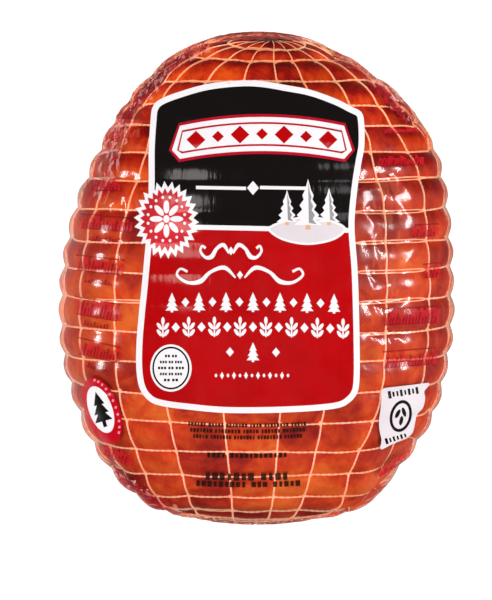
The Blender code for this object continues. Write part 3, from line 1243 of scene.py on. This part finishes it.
def label():
    outer = label_outline()
    inner = inset(outer, 6.0)
    shapes = [(outer, WHITE), (inner, BLACK)]

    def divide(x):
        return 226.2 + (x - 150) * 0.020 + 1.2 * math.sin((x - 150) / 210 * math.pi)

    # lower field: everything of the inner outline below the dividing line
    def cut(poly, line, below=True):
        keep = []
        n = len(poly)
        for i in range(n):
            a, b = poly[i], poly[(i + 1) % n]
            ina, inb = (a[1] > line(a[0])) == below, (b[1] > line(b[0])) == below
            if ina:
                keep.append(a)
            if ina != inb:
                fa, fb = a[1] - line(a[0]), b[1] - line(b[0])
                keep.append(a + (b - a) * fa / (fa - fb))
        return np.array(keep)

    def band_edge(y):
        return lambda x: divide(x) + y

    lower = cut(inner, band_edge(-2.4))
    shapes.append((lower, WHITE))
    shapes.append((cut(inner, band_edge(2.4)), RED))

    # a plain plaque, bowed like the label's upper edge, with a row of lozenges
    def bow(x):
        return 12.0 * ((x - 262) / 95) ** 2

    def plaque(grow):
        top = [(x, 117 - grow + bow(x)) for x in np.linspace(180 - grow * 0.4, 344 + grow * 0.4, 15)]
        end1 = [(352 + grow, 142 + bow(350) * 0.8)]
        low = [(x, 151 + grow + bow(x) * 0.9) for x in np.linspace(344 + grow * 0.4, 180 - grow * 0.4, 15)]
        end2 = [(172 - grow, 142 + bow(174) * 0.8)]
        return np.array(top + end1 + low + end2)

    shapes.append((plaque(3.0), ROSE_DARK))
    shapes.append((plaque(0.0), WHITE))
    shapes.append((plaque(-5.0), ROSE_DARK))
    shapes.append((plaque(-7.0), WHITE))
    for i in range(7):
        x = 196 + i * 22
        y = 134 + bow(x)
        size = 9.5 if i % 2 == 0 else 6.0
        shapes.append((np.array([(x - size, y), (x, y - size * 0.95), (x + size, y), (x, y + size * 0.95)]), RED))

    # a thin rule with a lozenge, under the plaque
    for a, b in ((196, 246), (260, 310)):
        shapes.append((block((a + b) / 2, 188.0, b - a, 3.4, 1.0), WHITE))
    shapes.append((np.array([(247, 188), (253, 181), (259, 188), (253, 195)]), WHITE))

    # three firs on a knoll, right of the middle
    def fir(x, foot, tall, wide):
        out = [((x - wide * 0.09, foot - 1), (x + wide * 0.09, foot - 1), (x + wide * 0.09, foot + tall * 0.10), (x - wide * 0.09, foot + tall * 0.10))]
        left, right = [], []
        tiers = 4
        for t in range(tiers):
            y0 = foot - tall * t / tiers * 0.86
            w = wide * (1 - t / tiers * 0.80) / 2
            left += [(x - w, y0), (x - w * 0.52, y0 - tall * 0.12)]
            right += [(x + w, y0), (x + w * 0.52, y0 - tall * 0.12)]
        return np.array(left + [(x, foot - tall)] + right[::-1]), np.array(out[0])

    knoll = spline([(268, 229), (282, 240), (308, 245), (334, 240), (346, 229), (334, 221), (308, 216), (282, 221)], 6)
    shapes.append((knoll, WHITE))
    shapes.append((inset(knoll, 2.2), CREAM))
    for x, foot, tall, wide in ((287, 222, 32, 21), (329, 222, 34, 22), (308, 225, 46, 28)):
        crown, trunk = fir(x, foot, tall, wide)
        shapes.append((trunk, TAN))
        shapes.append((crown, WHITE))
        half = crown[crown[:, 0] >= x - 0.01]
        shade = np.concatenate([half * [0.62, 0.92] + [x * 0.38, foot * 0.08 - 0.6], [(x + 0.8, foot - 2.0)]])
        shapes.append((shade, GREY))

    # flourishes, where the label has two lines of writing
    def stroke(points, widths):
        line = spline(points, 7, False)
        t = np.linspace(0, 1, len(line))
        w = np.interp(t, np.linspace(0, 1, len(widths)), widths)
        d = np.gradient(line, axis=0)
        d /= np.linalg.norm(d, axis=1)[:, None]
        n = np.stack([-d[:, 1], d[:, 0]], 1)
        return np.concatenate([line + n * w[:, None] / 2, (line - n * w[:, None] / 2)[::-1]])

    for cx, cy, w, h in ((231, 252, 31, 15), (240, 276, 64, 18)):
        for side in (-1, 1):
            scroll = [(0.07, 0.10), (0.24, -0.46), (0.46, -0.22), (0.62, 0.30), (0.82, 0.36), (0.98, -0.04), (0.93, -0.40), (0.82, -0.24)]
            points = [(cx + side * u * w, cy + v * h) for u, v in scroll]
            shapes.append((stroke(points, [1.4, 4.2, 3.2, 4.6, 3.0, 2.4, 2.2, 2.6]), WHITE))
        shapes.append((ellipse(cx, cy - 1.0, 3.0, 4.2, 0, 4), WHITE))

    # rows of small firs, lozenges and leaves
    def sprig(x, y, h, kind):
        if kind == "fir":
            out = []
            for t, (low, high, w) in enumerate(((0.42, 0.02, 0.66), (0.20, -0.24, 0.54), (-0.06, -0.50, 0.38))):
                out.append(np.array([(x - w * h / 2, y + low * h), (x, y + high * h), (x + w * h / 2, y + low * h)]))
            out.append(block(x, y + 0.45 * h, 0.13 * h, 0.12 * h))
            return out
        if kind == "leaf":
            out = []
            for side in (-1, 1):
                for level in (0.26, -0.06):
                    out.append(ellipse(x + side * 0.17 * h, y + level * h, 0.085 * h, 0.20 * h, side * 34, 14))
            out.append(ellipse(x, y - 0.32 * h, 0.085 * h, 0.19 * h, 0, 14))
            out.append(block(x, y + 0.12 * h, 0.075 * h, 0.72 * h))
            return out
        if kind == "dot":
            return [ellipse(x, y, 0.10 * h, 0.10 * h, 0, 14)]
        tall, wide = (0.40, 0.30) if kind == "lozenge" else (0.24, 0.20)
        return [np.array([(x - wide * h, y), (x, y - tall * h), (x + wide * h, y), (x, y + tall * h)])]

    rows = [
        (172, 334, 303.5, 19.5, "fir gem fir gem fir gem fir gem fir gem fir gem fir"),
        (163, 343, 328.5, 20.5, "leaf gem leaf gem leaf gem leaf gem leaf gem leaf gem leaf gem leaf"),
        (230, 276, 353.5, 19.5, "gem fir gem"),
    ]
    for x0, x1, y, h, kinds in rows:
        kinds = kinds.split()
        for k, kind in enumerate(kinds):
            x = x0 + (x1 - x0) * k / (len(kinds) - 1)
            bowed = y - 1.5 * math.sin((x - 150) / 210 * math.pi) + (x - 250) * 0.008
            for piece in sprig(x, bowed, h, kind):
                shapes.append((piece, WHITE))
    for k in range(13):
        shapes.append((ellipse(216 + k * 6.0, 375.5, 2.0 if k % 2 else 1.3, 3.6 if k % 2 else 1.8, 0, 4 if k % 2 else 10), WHITE))

    # round seal with a ring and rows of short bars
    shapes.append((ellipse(171, 368, 20.7, 23.6), WHITE))
    shapes.append((ellipse(171, 368, 18.6, 21.4), BLACK))
    shapes.append((ellipse(171, 368, 16.9, 19.6), WHITE))
    for y, w in ((356, 12), (362, 22), (368, 26), (374, 22), (380, 14)):
        for b in bars(171 - w / 2, 171 + w / 2, lambda x, y=y: y, 2.6, (2, 2) if w < 20 else (3, 2, 3), 2.2, 0.9, 2.2):
            shapes.append((b, BLACK))

    # burst over the label's left edge, with an eight-leaved rosette
    shapes.append((star(166.5, 220, 32.5, 39.0, 26, 0.17, 0.06), WHITE))
    shapes.append((star(166.5, 220, 26.5, 32.0, 26, 0.17, 0.06), ROSE))
    for k in range(8):
        turned = k * 45.0
        c, v = math.cos(math.radians(turned)), math.sin(math.radians(turned))
        shapes.append((ellipse(166.5 + 10.2 * c, 219 + 12.0 * v, 6.6, 2.9, math.degrees(math.atan2(12.0 * v, 10.2 * c)), 18), WHITE))
    shapes.append((ellipse(166.5, 219, 3.2, 3.8, 0, 18), WHITE))
    for k in range(16):
        turned = math.radians(k * 22.5 + 11.25)
        shapes.append((ellipse(166.5 + 18.6 * math.cos(turned), 219 + 22.0 * math.sin(turned), 1.4, 1.6, 0, 10), WHITE))
    return lay("label_print", shapes, 0.00014, 2.2)


ROSE_DARK = ink_and_painted_light_material("ink_crimson", (0.42, 0.004, 0.018), 0.15)
label_print = label()


def small_prints():
    out = []
    # red oval badge at the lower left, with a bold fir
    shapes = [(ellipse(102.5, 410.5, 17.0, 35.0, -20), CHERRY), (ellipse(100.8, 409.5, 11.6, 24.5, -20), WHITE)]
    c, v = math.cos(math.radians(-16)), math.sin(math.radians(-16))

    def tilted(points):
        return np.array([(100.8 + x * c - y * v, 409.5 + x * v + y * c) for x, y in points])

    for low, high, half in ((12.0, -2.0, 9.0), (4.0, -10.0, 7.4), (-5.0, -18.5, 5.4)):
        shapes.append((tilted([(-half, low), (0, high), (half, low)]), BLACK))
    shapes.append((tilted([(-1.8, 11.5), (1.8, 11.5), (1.8, 18.0), (-1.8, 18.0)]), BLACK))
    for k in range(11):
        angle = math.radians(-84 + k * 13)
        x, y = 102.3 + 14.6 * math.cos(angle), 410.5 + 30.5 * math.sin(angle)
        shapes.append((block(x + 0.30 * (y - 410.5), y, 2.0, 2.4, 20), ROSE_PALE))
    out.append(lay("badge_left", shapes, 0.00018, 1.8))
    # pale four-sided badge with a tilted ring at the lower right; its edge follows the folds of the film
    edge = spline(
        [(382.3, 388.8), (397, 386.4), (413, 384.6), (428.6, 382.8), (427.4, 387), (424, 391.5), (425, 398.5), (422.6, 408),
         (417.5, 413.5), (415, 421.6), (413, 431), (408.6, 436.4), (399, 441), (390, 445), (380.4, 449.4), (381.4, 440), (379.6, 431.8),
         (378.8, 421.6), (380.5, 408), (381.4, 396)], 3)  # fmt: skip
    shapes = [(edge, CREAM)]
    ring = ellipse(400.6, 416.0, 10.8, 16.2, 14)
    shapes.append((ring, BLACK))
    shapes.append((ellipse(400.6, 416.0, 8.0, 13.0, 14), CREAM))
    for dx, dy, tilt in ((-3.0, -2.4, 28), (3.2, -4.0, -18), (0.4, 4.6, 12)):
        shapes.append((ellipse(400.6 + dx, 416.0 + dy, 1.9, 4.8, tilt, 18), BLACK))
    for k, (w, h) in enumerate(((3.1, 7.6), (2.2, 5.0), (1.9, 5.2), (2.5, 6.8), (1.8, 4.8), (2.4, 6.6), (1.9, 5.0), (2.6, 7.0))):
        shapes.append((block(389.5 + k * 3.9, 394.8 - k * 0.62, w, h, -9), BLACK))
    for k, (w, h) in enumerate(((2.7, 6.0), (1.9, 4.2), (2.1, 5.0), (1.8, 4.0), (2.2, 4.8), (1.8, 3.8))):
        shapes.append((block(386.5 + k * 3.7, 441.0 - k * 1.15, w, h, -18), BLACK))
    out.append(lay("badge_right", shapes, 0.00018, 1.8))
    # lines of small dark bars under the label
    shapes = []

    def sag(y):
        return lambda x: y + 4.0 - 4.0 * ((x - 247) / 62) ** 2 * 0.55

    for x0, x1, y, h, words in (
        (188, 306, 421.5, 3.9, (6, 5, 7, 4, 8, 5)),
        (190, 305, 427.5, 3.9, (7, 8, 5, 6, 7)),
        (193, 302, 433.5, 3.9, (5, 7, 7, 8, 6)),
        (207, 287, 451.6, 5.0, (4, 12)),
        (205, 288, 473.0, 7.2, (7, 4)),
        (196, 300, 480.6, 5.6, (9, 3, 5)),
    ):
        bar, gap, space = (2.1, 0.7, 2.4) if h < 4 else (3.2, 1.0, 4.2)
        for k, b in enumerate(bars(x0, x1, sag(y), h, words, bar, gap, space)):
            # uneven widths and heights
            mid = b.mean(0)
            b = mid + (b - mid) * [(0.78, 1.1, 0.92, 0.66, 1.05)[k % 5], (1.0, 0.94, 1.0, 0.9)[k % 4]]
            shapes.append((b, FINE))
    out.append(lay("fine_print", shapes, 0.00014, 2.2))
    return out


prints = small_prints()


def fringe(x0, x1, line, tall, seed):
    """A row of slanted strokes of uneven height that stand on a thin line, as a woven edge has."""
    out = []
    x, k = x0, seed
    while x < x1 - 1.5:
        high = tall * (1.0, 0.55, 0.62, 0.95, 0.5, 0.6, 0.88)[k % 7]
        wide = (2.1, 1.5, 1.7, 2.0, 1.4)[k % 5]
        y = line(x)
        lean = -0.22 * high
        out.append(np.array([(x, y), (x + wide, y), (x + wide - lean, y - high), (x - lean, y - high)]))
        x += wide + (1.5, 1.2, 1.9, 1.3)[k % 4]
        k += 1
    out.append(ribbon([(v, line(v) - 0.4) for v in np.linspace(x0 - 1, x1, 7)], 1.1))
    return out


def ribbon(points, width):
    """A thin band along a few points; width is a number or one per point."""
    line = np.asarray(points, float)
    d = np.gradient(line, axis=0)
    d /= np.linalg.norm(d, axis=1)[:, None]
    n = np.stack([-d[:, 1], d[:, 0]], 1) * np.broadcast_to(width, len(line))[:, None] / 2
    return np.concatenate([line + n, (line - n)[::-1]])


def spindle(points, width):
    """A band along a few points that narrows towards both ends."""
    line = np.asarray(points, float)
    d = np.gradient(line, axis=0)
    d /= np.linalg.norm(d, axis=1)[:, None]
    t = np.linspace(0.0, 1.0, len(line))
    w = width * (0.25 + 0.75 * np.sin(t * math.pi))
    n = np.stack([-d[:, 1], d[:, 0]], 1) * w[:, None] / 2
    return np.concatenate([line + n, (line - n)[::-1]])


def side_prints():
    """Bands of thin red ink that run off round both sides: a rule, a tall row of strokes and a low one."""
    out = []
    # from x, to x, height of the rule at its middle, slope, distance down to the tall and the low row's feet
    left = [
        (81, 133, 216.0, 0.085, 14.5, 25.5),
        (77, 124, 257.5, 0.110, 15.5, 26.5),
        (76, 120, 300.5, 0.180, 17.5, 27.0),
        (79, 120, 342.5, 0.240, 16.5, 27.5),
    ]
    right = [
        (384, 440, 307.6, -0.050, 16.5, None),
        (384, 436, 349.8, -0.080, 16.5, None),
        (378, 424, 155.0, -0.050, 10.5, None),
        (412, 438, 224.5, -0.050, 12.0, None),
        (424, 440, 263.5, -0.100, 14.0, None),
    ]
    chance = np.random.default_rng(17)

    def band(shapes, x0, x1, line, tall, seed, wash=WASH, dark=SIDE):
        """Ragged red wash, darker towards its foot, with a row of strokes in it."""
        x = x0
        while x < x1 - 2:
            wide = chance.uniform(1.8, 4.2)
            high = tall * chance.uniform(0.45, 0.98)
            foot = line(x) + tall + chance.uniform(-1.0, 0.6)
            shapes.append((np.array([(x, foot), (x + wide, foot), (x + wide + 0.6, foot - high), (x + 0.8, foot - high - 0.6)]), wash))
            x += wide * chance.uniform(0.6, 1.1)
        for stroke in fringe(x0 + 1, x1 - 3, lambda v: line(v) + tall, tall - 4.0, seed):
            shapes.append((stroke, dark))

    for name, bands in (("side_print_and_sheen_left", left), ("side_print_right", right)):
        shapes = []
        for k, (x0, x1, y, slope, tall, low) in enumerate(bands):
            mid = (x0 + x1) / 2

            def line(x, y=y, slope=slope, mid=mid):
                return y + (x - mid) * slope

            band(shapes, x0, x1, line, tall, k * 3)
            shapes.append((ribbon([(v, line(v)) for v in np.linspace(x0 - 1, x1 + 1, 8)], 1.3), SIDE))
            if low:
                for stroke in fringe(x0 + 8, x1 - 12, lambda x: line(x) + low, 5.0, k * 3 + 1):
                    shapes.append((stroke, SIDE))
        if name == "side_print_right":
            band(shapes, 379, 409, lambda x: 456 - (x - 394) * 0.62, 11.0, 2)
            band(shapes, 384, 420, lambda x: 127 - (x - 402) * 0.04, 6.5, 1)
        else:
            band(shapes, 104, 131, lambda x: 442 + (x - 104) * 0.52, 12.0, 1)
            band(shapes, 117, 144, lambda x: 109.0 + (x - 119) * 0.02, 10.0, 2, GARNET, PLUM)
            # painted sheen: a milky wash of light under red strokes
            band(shapes, 114, 140, lambda x: 129.5 - (x - 121) * 0.08, 9.0, 4, PAINTED_SHEEN_MIST, CRIMSON)
            band(shapes, 95, 121, lambda x: 179.5 - (x - 95) * 0.03, 12.0, 3)
        out.append(lay(name, shapes, 0.00014, 2.0))
    return out


def shoulder_prints():
    """Gathered, crackled film with thin red ink in its folds and painted highlights on it, at the shoulders, and
    painted sheen of the film along the left and right edges: long soft streaks that follow the folds."""
    out = []
    chance = np.random.default_rng(5)
    dusk = (PLUM, CRIMSON, GARNET, PAINTED_HIGHLIGHT_STREAK, CRIMSON, MAUVE, GARNET, CRIMSON, PAINTED_HIGHLIGHT_STREAK, PAINTED_HIGHLIGHT_FLECK)
    haze = (PAINTED_SHEEN_MIST, PAINTED_SHEEN_HAZE, MAUVE, PAINTED_SHEEN_MIST, CRIMSON, PAINTED_SHEEN_MIST)
    # name, middle line, width, number of streaks, their lengths, how far they turn, wash under them, inks (some of them
    #     painted highlights and painted sheen), and their angle from upright if they don't follow the middle line
    for name, line, wide, count, low, high, sway, under, inks, lean in (
        # painted highlights: pink-white flecks among the red ink of the folds
        ("shoulder_print_and_highlights_left", [(104, 145), (113, 127), (124.5, 111.5), (138, 96.5), (152, 81.5), (168, 66), (187, 53), (208, 44.5)],
         26.0, 340, 3.0, 9.0, 15, VEIL, dusk, 24),
        ("shoulder_print_and_highlights_right", [(336, 52), (350, 60), (366, 72), (383, 90), (398, 104), (410, 120)],
         16.0, 130, 3.0, 9.0, 24, VEIL, dusk, None),
        # painted sheen of the film along the top edge, with some red ink
        ("shoulder_sheen_and_print_top", [(190, 49), (214, 41), (240, 36.5), (266, 35), (292, 37.5), (318, 43)],
         7.0, 46, 7.0, 20.0, 7, PAINTED_SHEEN_HAZE, haze, None),
        # painted highlights: pink-white flecks among the red ink at the foot
        ("foot_print_and_highlights_left", [(110, 468), (122, 479), (138, 491), (156, 501), (176, 509)], 13.0, 80, 3.0, 9.0, 14, VEIL, dusk, None),
        # painted sheen: milky streaks of light along the long thread on the right
        ("painted_sheen_right", [(384, 180), (388, 205), (388, 235), (386, 265), (385, 300)], 26.0, 26, 10.0, 24.0, 14, None, (PAINTED_SHEEN_MIST,), None),
        # painted sheen, with some red ink: hazy streaks of light along the left edge
        ("painted_sheen_and_ink_left", [(119, 124), (112, 142), (107, 160), (102, 178), (97, 196)], 26.0, 100, 7.0, 18.0, 9, None, (PAINTED_SHEEN_MIST, PAINTED_HIGHLIGHT_STREAK, CRIMSON, PAINTED_SHEEN_HAZE, PAINTED_SHEEN_PINK, WASH, WASH), None),
    ):  # fmt: skip
        path = spline(line, 8, False)
        tangent = np.gradient(path, axis=0)
        tangent /= np.linalg.norm(tangent, axis=1)[:, None]
        across = np.stack([-tangent[:, 1], tangent[:, 0]], 1)
        narrow = np.linspace(1.0, 0.50, len(path)) if lean is not None else np.ones(len(path))
        shapes = [] if under is None else [(ribbon(path[3:-3], wide * 0.8 * narrow[3:-3]), under)]
        for _ in range(count):
            i = int(chance.uniform(0, len(path) - 1))
            centre = path[i] + across[i] * chance.uniform(-0.50, 0.50) * wide * narrow[i]
            turned = math.radians(chance.normal(0, sway))
            c, v = math.cos(turned), math.sin(turned)
            first = tangent[i]
            if lean is not None:
                first = np.array([math.sin(math.radians(lean)), -math.cos(math.radians(lean))])
            way = np.array([first[0] * c - first[1] * v, first[0] * v + first[1] * c])
            ink = inks[int(chance.integers(0, len(inks)))]
            long, thick = chance.uniform(low, high), chance.uniform(0.8, 2.4)
            if ink is PAINTED_SHEEN_MIST:
                thick *= 3.2
            elif ink in (PAINTED_HIGHLIGHT_STREAK, PAINTED_SHEEN_PINK):
                thick *= 1.7
            elif ink is PAINTED_HIGHLIGHT_FLECK:
                long, thick = long * 0.5, thick * 0.8
            bend = np.array([-way[1], way[0]]) * chance.normal(0, 1.0)
            points = spline([centre - way * long / 2, centre + bend, centre + way * long / 2], 4, False)
            shapes.append((spindle(points, thick), ink))
        if name == "painted_sheen_and_ink_left":
            # rings of the net, seen only as pale bands through the haze
            for ends in (
                [(111, 127), (119, 126.2), (128, 124.6), (142, 123.4)],
                [(97, 156), (104, 152.8), (112, 150.8), (119, 150.2)],
                # rings of the net, seen only as pale bands: the net's own colour lightened by painted sheen
                [(90, 179), (97, 178.6), (106, 178), (116, 177.5)],
            ):
                shapes.append((spindle(spline(ends, 4, False), 2.6), PAINTED_SHEEN_PINK))
        out.append(lay(name, shapes, 0.00012, 1.8))
    return out


prints += side_prints() + shoulder_prints()

meat.data.materials.append(meat_material())
yarn = net_material()
for ob in (net_rings, net_threads, net_knots):
    ob.data.materials.append(yarn)
film.data.materials.append(film_material())

for ob in [meat, net_rings, net_threads, net_knots, film, label_print] + prints:
    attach(ob, "root")
for ob in (meat, net_rings, net_threads, net_knots, film):
    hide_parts("bagged_ham")

# ---------------------------------------------------------------- floor, light, camera
scene = bpy.context.scene
floor = mesh_object("studio_floor", np.array([(-4, -4, -0.0004), (4, -4, -0.0004), (4, 4, -0.0004), (-4, 4, -0.0004)]), np.array([[0, 1, 2, 3]]))
f = Nodes("studio_floor")
f.set(Base_Color=(0.38, 0.38, 0.38), Roughness=0.9, Specular_IOR_Level=0.1, Emission_Color=(1.0, 1.0, 1.0), Emission_Strength=1.0)
# The camera sees a plain white floor; the ham is lit by a brighter one, as by a light table.
seen = f.nt.nodes.new("ShaderNodeLightPath").outputs["Is Camera Ray"]
f.put(f.remap(seen, 0.0, 1.0, 1.85, 0.80), f.shader.inputs["Emission Strength"])
floor.data.materials.append(f.mat)
floor.visible_glossy = False

world = bpy.data.worlds.new("studio")
scene.world = world
world.use_nodes = True
wn = world.node_tree
back = wn.nodes["Background"]
# Reflections see dark walls, a pale reflector on the right, and the white table low down.
path = wn.nodes.new("ShaderNodeLightPath")
aim = wn.nodes.new("ShaderNodeTexCoord")
axes = wn.nodes.new("ShaderNodeSeparateXYZ")
wn.links.new(aim.outputs["Generated"], axes.inputs[0])
glow = []
for axis, low, high, bright in (("X", 0.60, 0.93, 0.20), ("Z", -0.45, -0.95, 0.18)):
    side_glow = wn.nodes.new("ShaderNodeMapRange")
    side_glow.interpolation_type = "SMOOTHSTEP"
    for name, value in (("From Min", low), ("From Max", high), ("To Min", 0.022), ("To Max", bright)):
        side_glow.inputs[name].default_value = value
    wn.links.new(axes.outputs[axis], side_glow.inputs["Value"])
    glow.append(side_glow.outputs["Result"])
# the reflector ends short of the ham's upper end
short = wn.nodes.new("ShaderNodeMapRange")
short.interpolation_type = "SMOOTHSTEP"
for name, value in (("From Min", 0.10), ("From Max", 0.38), ("To Min", 1.0), ("To Max", 0.10)):
    short.inputs[name].default_value = value
wn.links.new(axes.outputs["Y"], short.inputs["Value"])
cut = wn.nodes.new("ShaderNodeMath")
cut.operation = "MULTIPLY"
wn.links.new(glow[0], cut.inputs[0])
wn.links.new(short.outputs["Result"], cut.inputs[1])
both = wn.nodes.new("ShaderNodeMath")
both.operation = "MAXIMUM"
wn.links.new(cut.outputs[0], both.inputs[0])
wn.links.new(glow[1], both.inputs[1])
# a pale wall low on the left, seen only along the ham's left edge
low_left = wn.nodes.new("ShaderNodeMath")
low_left.operation = "MULTIPLY"
low_left.inputs[1].default_value = -0.6
wn.links.new(axes.outputs["X"], low_left.inputs[0])
down_left = wn.nodes.new("ShaderNodeMath")
down_left.operation = "MULTIPLY_ADD"
down_left.inputs[1].default_value = -0.8
wn.links.new(axes.outputs["Z"], down_left.inputs[0])
wn.links.new(low_left.outputs[0], down_left.inputs[2])
wall = wn.nodes.new("ShaderNodeMapRange")
wall.interpolation_type = "SMOOTHSTEP"
for name, value in (("From Min", 0.68), ("From Max", 0.98), ("To Min", 0.0), ("To Max", 0.44)):
    wall.inputs[name].default_value = value
wn.links.new(down_left.outputs[0], wall.inputs["Value"])
most = wn.nodes.new("ShaderNodeMath")
most.operation = "MAXIMUM"
wn.links.new(both.outputs[0], most.inputs[0])
wn.links.new(wall.outputs["Result"], most.inputs[1])
level = wn.nodes.new("ShaderNodeMix")
level.data_type = "FLOAT"
level.inputs[2].default_value = 0.84
wn.links.new(path.outputs["Is Glossy Ray"], level.inputs[0])
wn.links.new(most.outputs[0], level.inputs[3])
wn.links.new(level.outputs[0], back.inputs["Strength"])
back.inputs["Color"].default_value = (1.0, 1.0, 1.0, 1.0)


def area(name, where, aim, width, height, watts, glossy=True, diffuse=True):
    light = bpy.data.lights.new(name, "AREA")
    light.shape = "RECTANGLE"
    light.size, light.size_y = width, height
    light.energy = watts
    ob = bpy.data.objects.new(name, light)
    scene.collection.objects.link(ob)
    ob.location = where
    ob.rotation_euler = (Vector(aim) - Vector(where)).to_track_quat("-Z", "Y").to_euler()
    ob.visible_camera = False
    ob.visible_glossy = glossy
    ob.visible_diffuse = diffuse
    return ob


def box(name, across, along, distance, width, length, radiance, glossy=True, diffuse=True):
    """A soft box at angles from straight up: across towards +X and along towards +Y, in degrees. Its length runs
    along Y, its width across."""
    a, b = math.radians(across), math.radians(along)
    aim = Vector((0.0, 0.0, 0.06))
    where = aim + distance * Vector((math.sin(a) * math.cos(b), math.sin(b), math.cos(a) * math.cos(b)))
    ob = area(name, where, aim, length, width, radiance * math.pi * width * length * math.pi / 4, glossy, diffuse)
    ob.data.shape = "ELLIPSE"
    return ob


area("overhead_soft", (0.0, -0.25, 1.5), (0, 0, 0.05), 1.6, 1.6, 9.5, glossy=False)
box("right_fill", 66, -4, 1.4, 0.60, 0.80, 4.0, glossy=False)
box("right_box_high", 52, 10.5, 1.25, 0.175, 0.41, 22.5, diffuse=False)
box("right_box_low", 72, 10.5, 1.25, 0.175, 0.41, 22.5, diffuse=False)
box("left_box", -79, 9, 1.25, 0.18, 0.42, 21.0, diffuse=False)
box("upper_box_left", -33, 18.5, 1.5, 0.60, 0.36, 4.8).data.color = (1.0, 0.93, 0.88)
box("upper_box_right", 35, 27, 1.5, 0.25, 0.27, 2.4)

camera_data = bpy.data.cameras.new("camera")
camera_data.sensor_width = 36.0
camera_data.lens = 36.0 * (CAMERA_HEIGHT - MID_HEIGHT) / (FRAME_H * PIXEL)
camera_data.clip_end = 20.0
camera = bpy.data.objects.new("camera", camera_data)
scene.collection.objects.link(camera)
camera.location = EYE
camera.rotation_euler = (0.0, 0.0, 0.0)
scene.camera = camera
scene.view_settings.view_transform = "Standard"
scene.view_settings.look = "None"
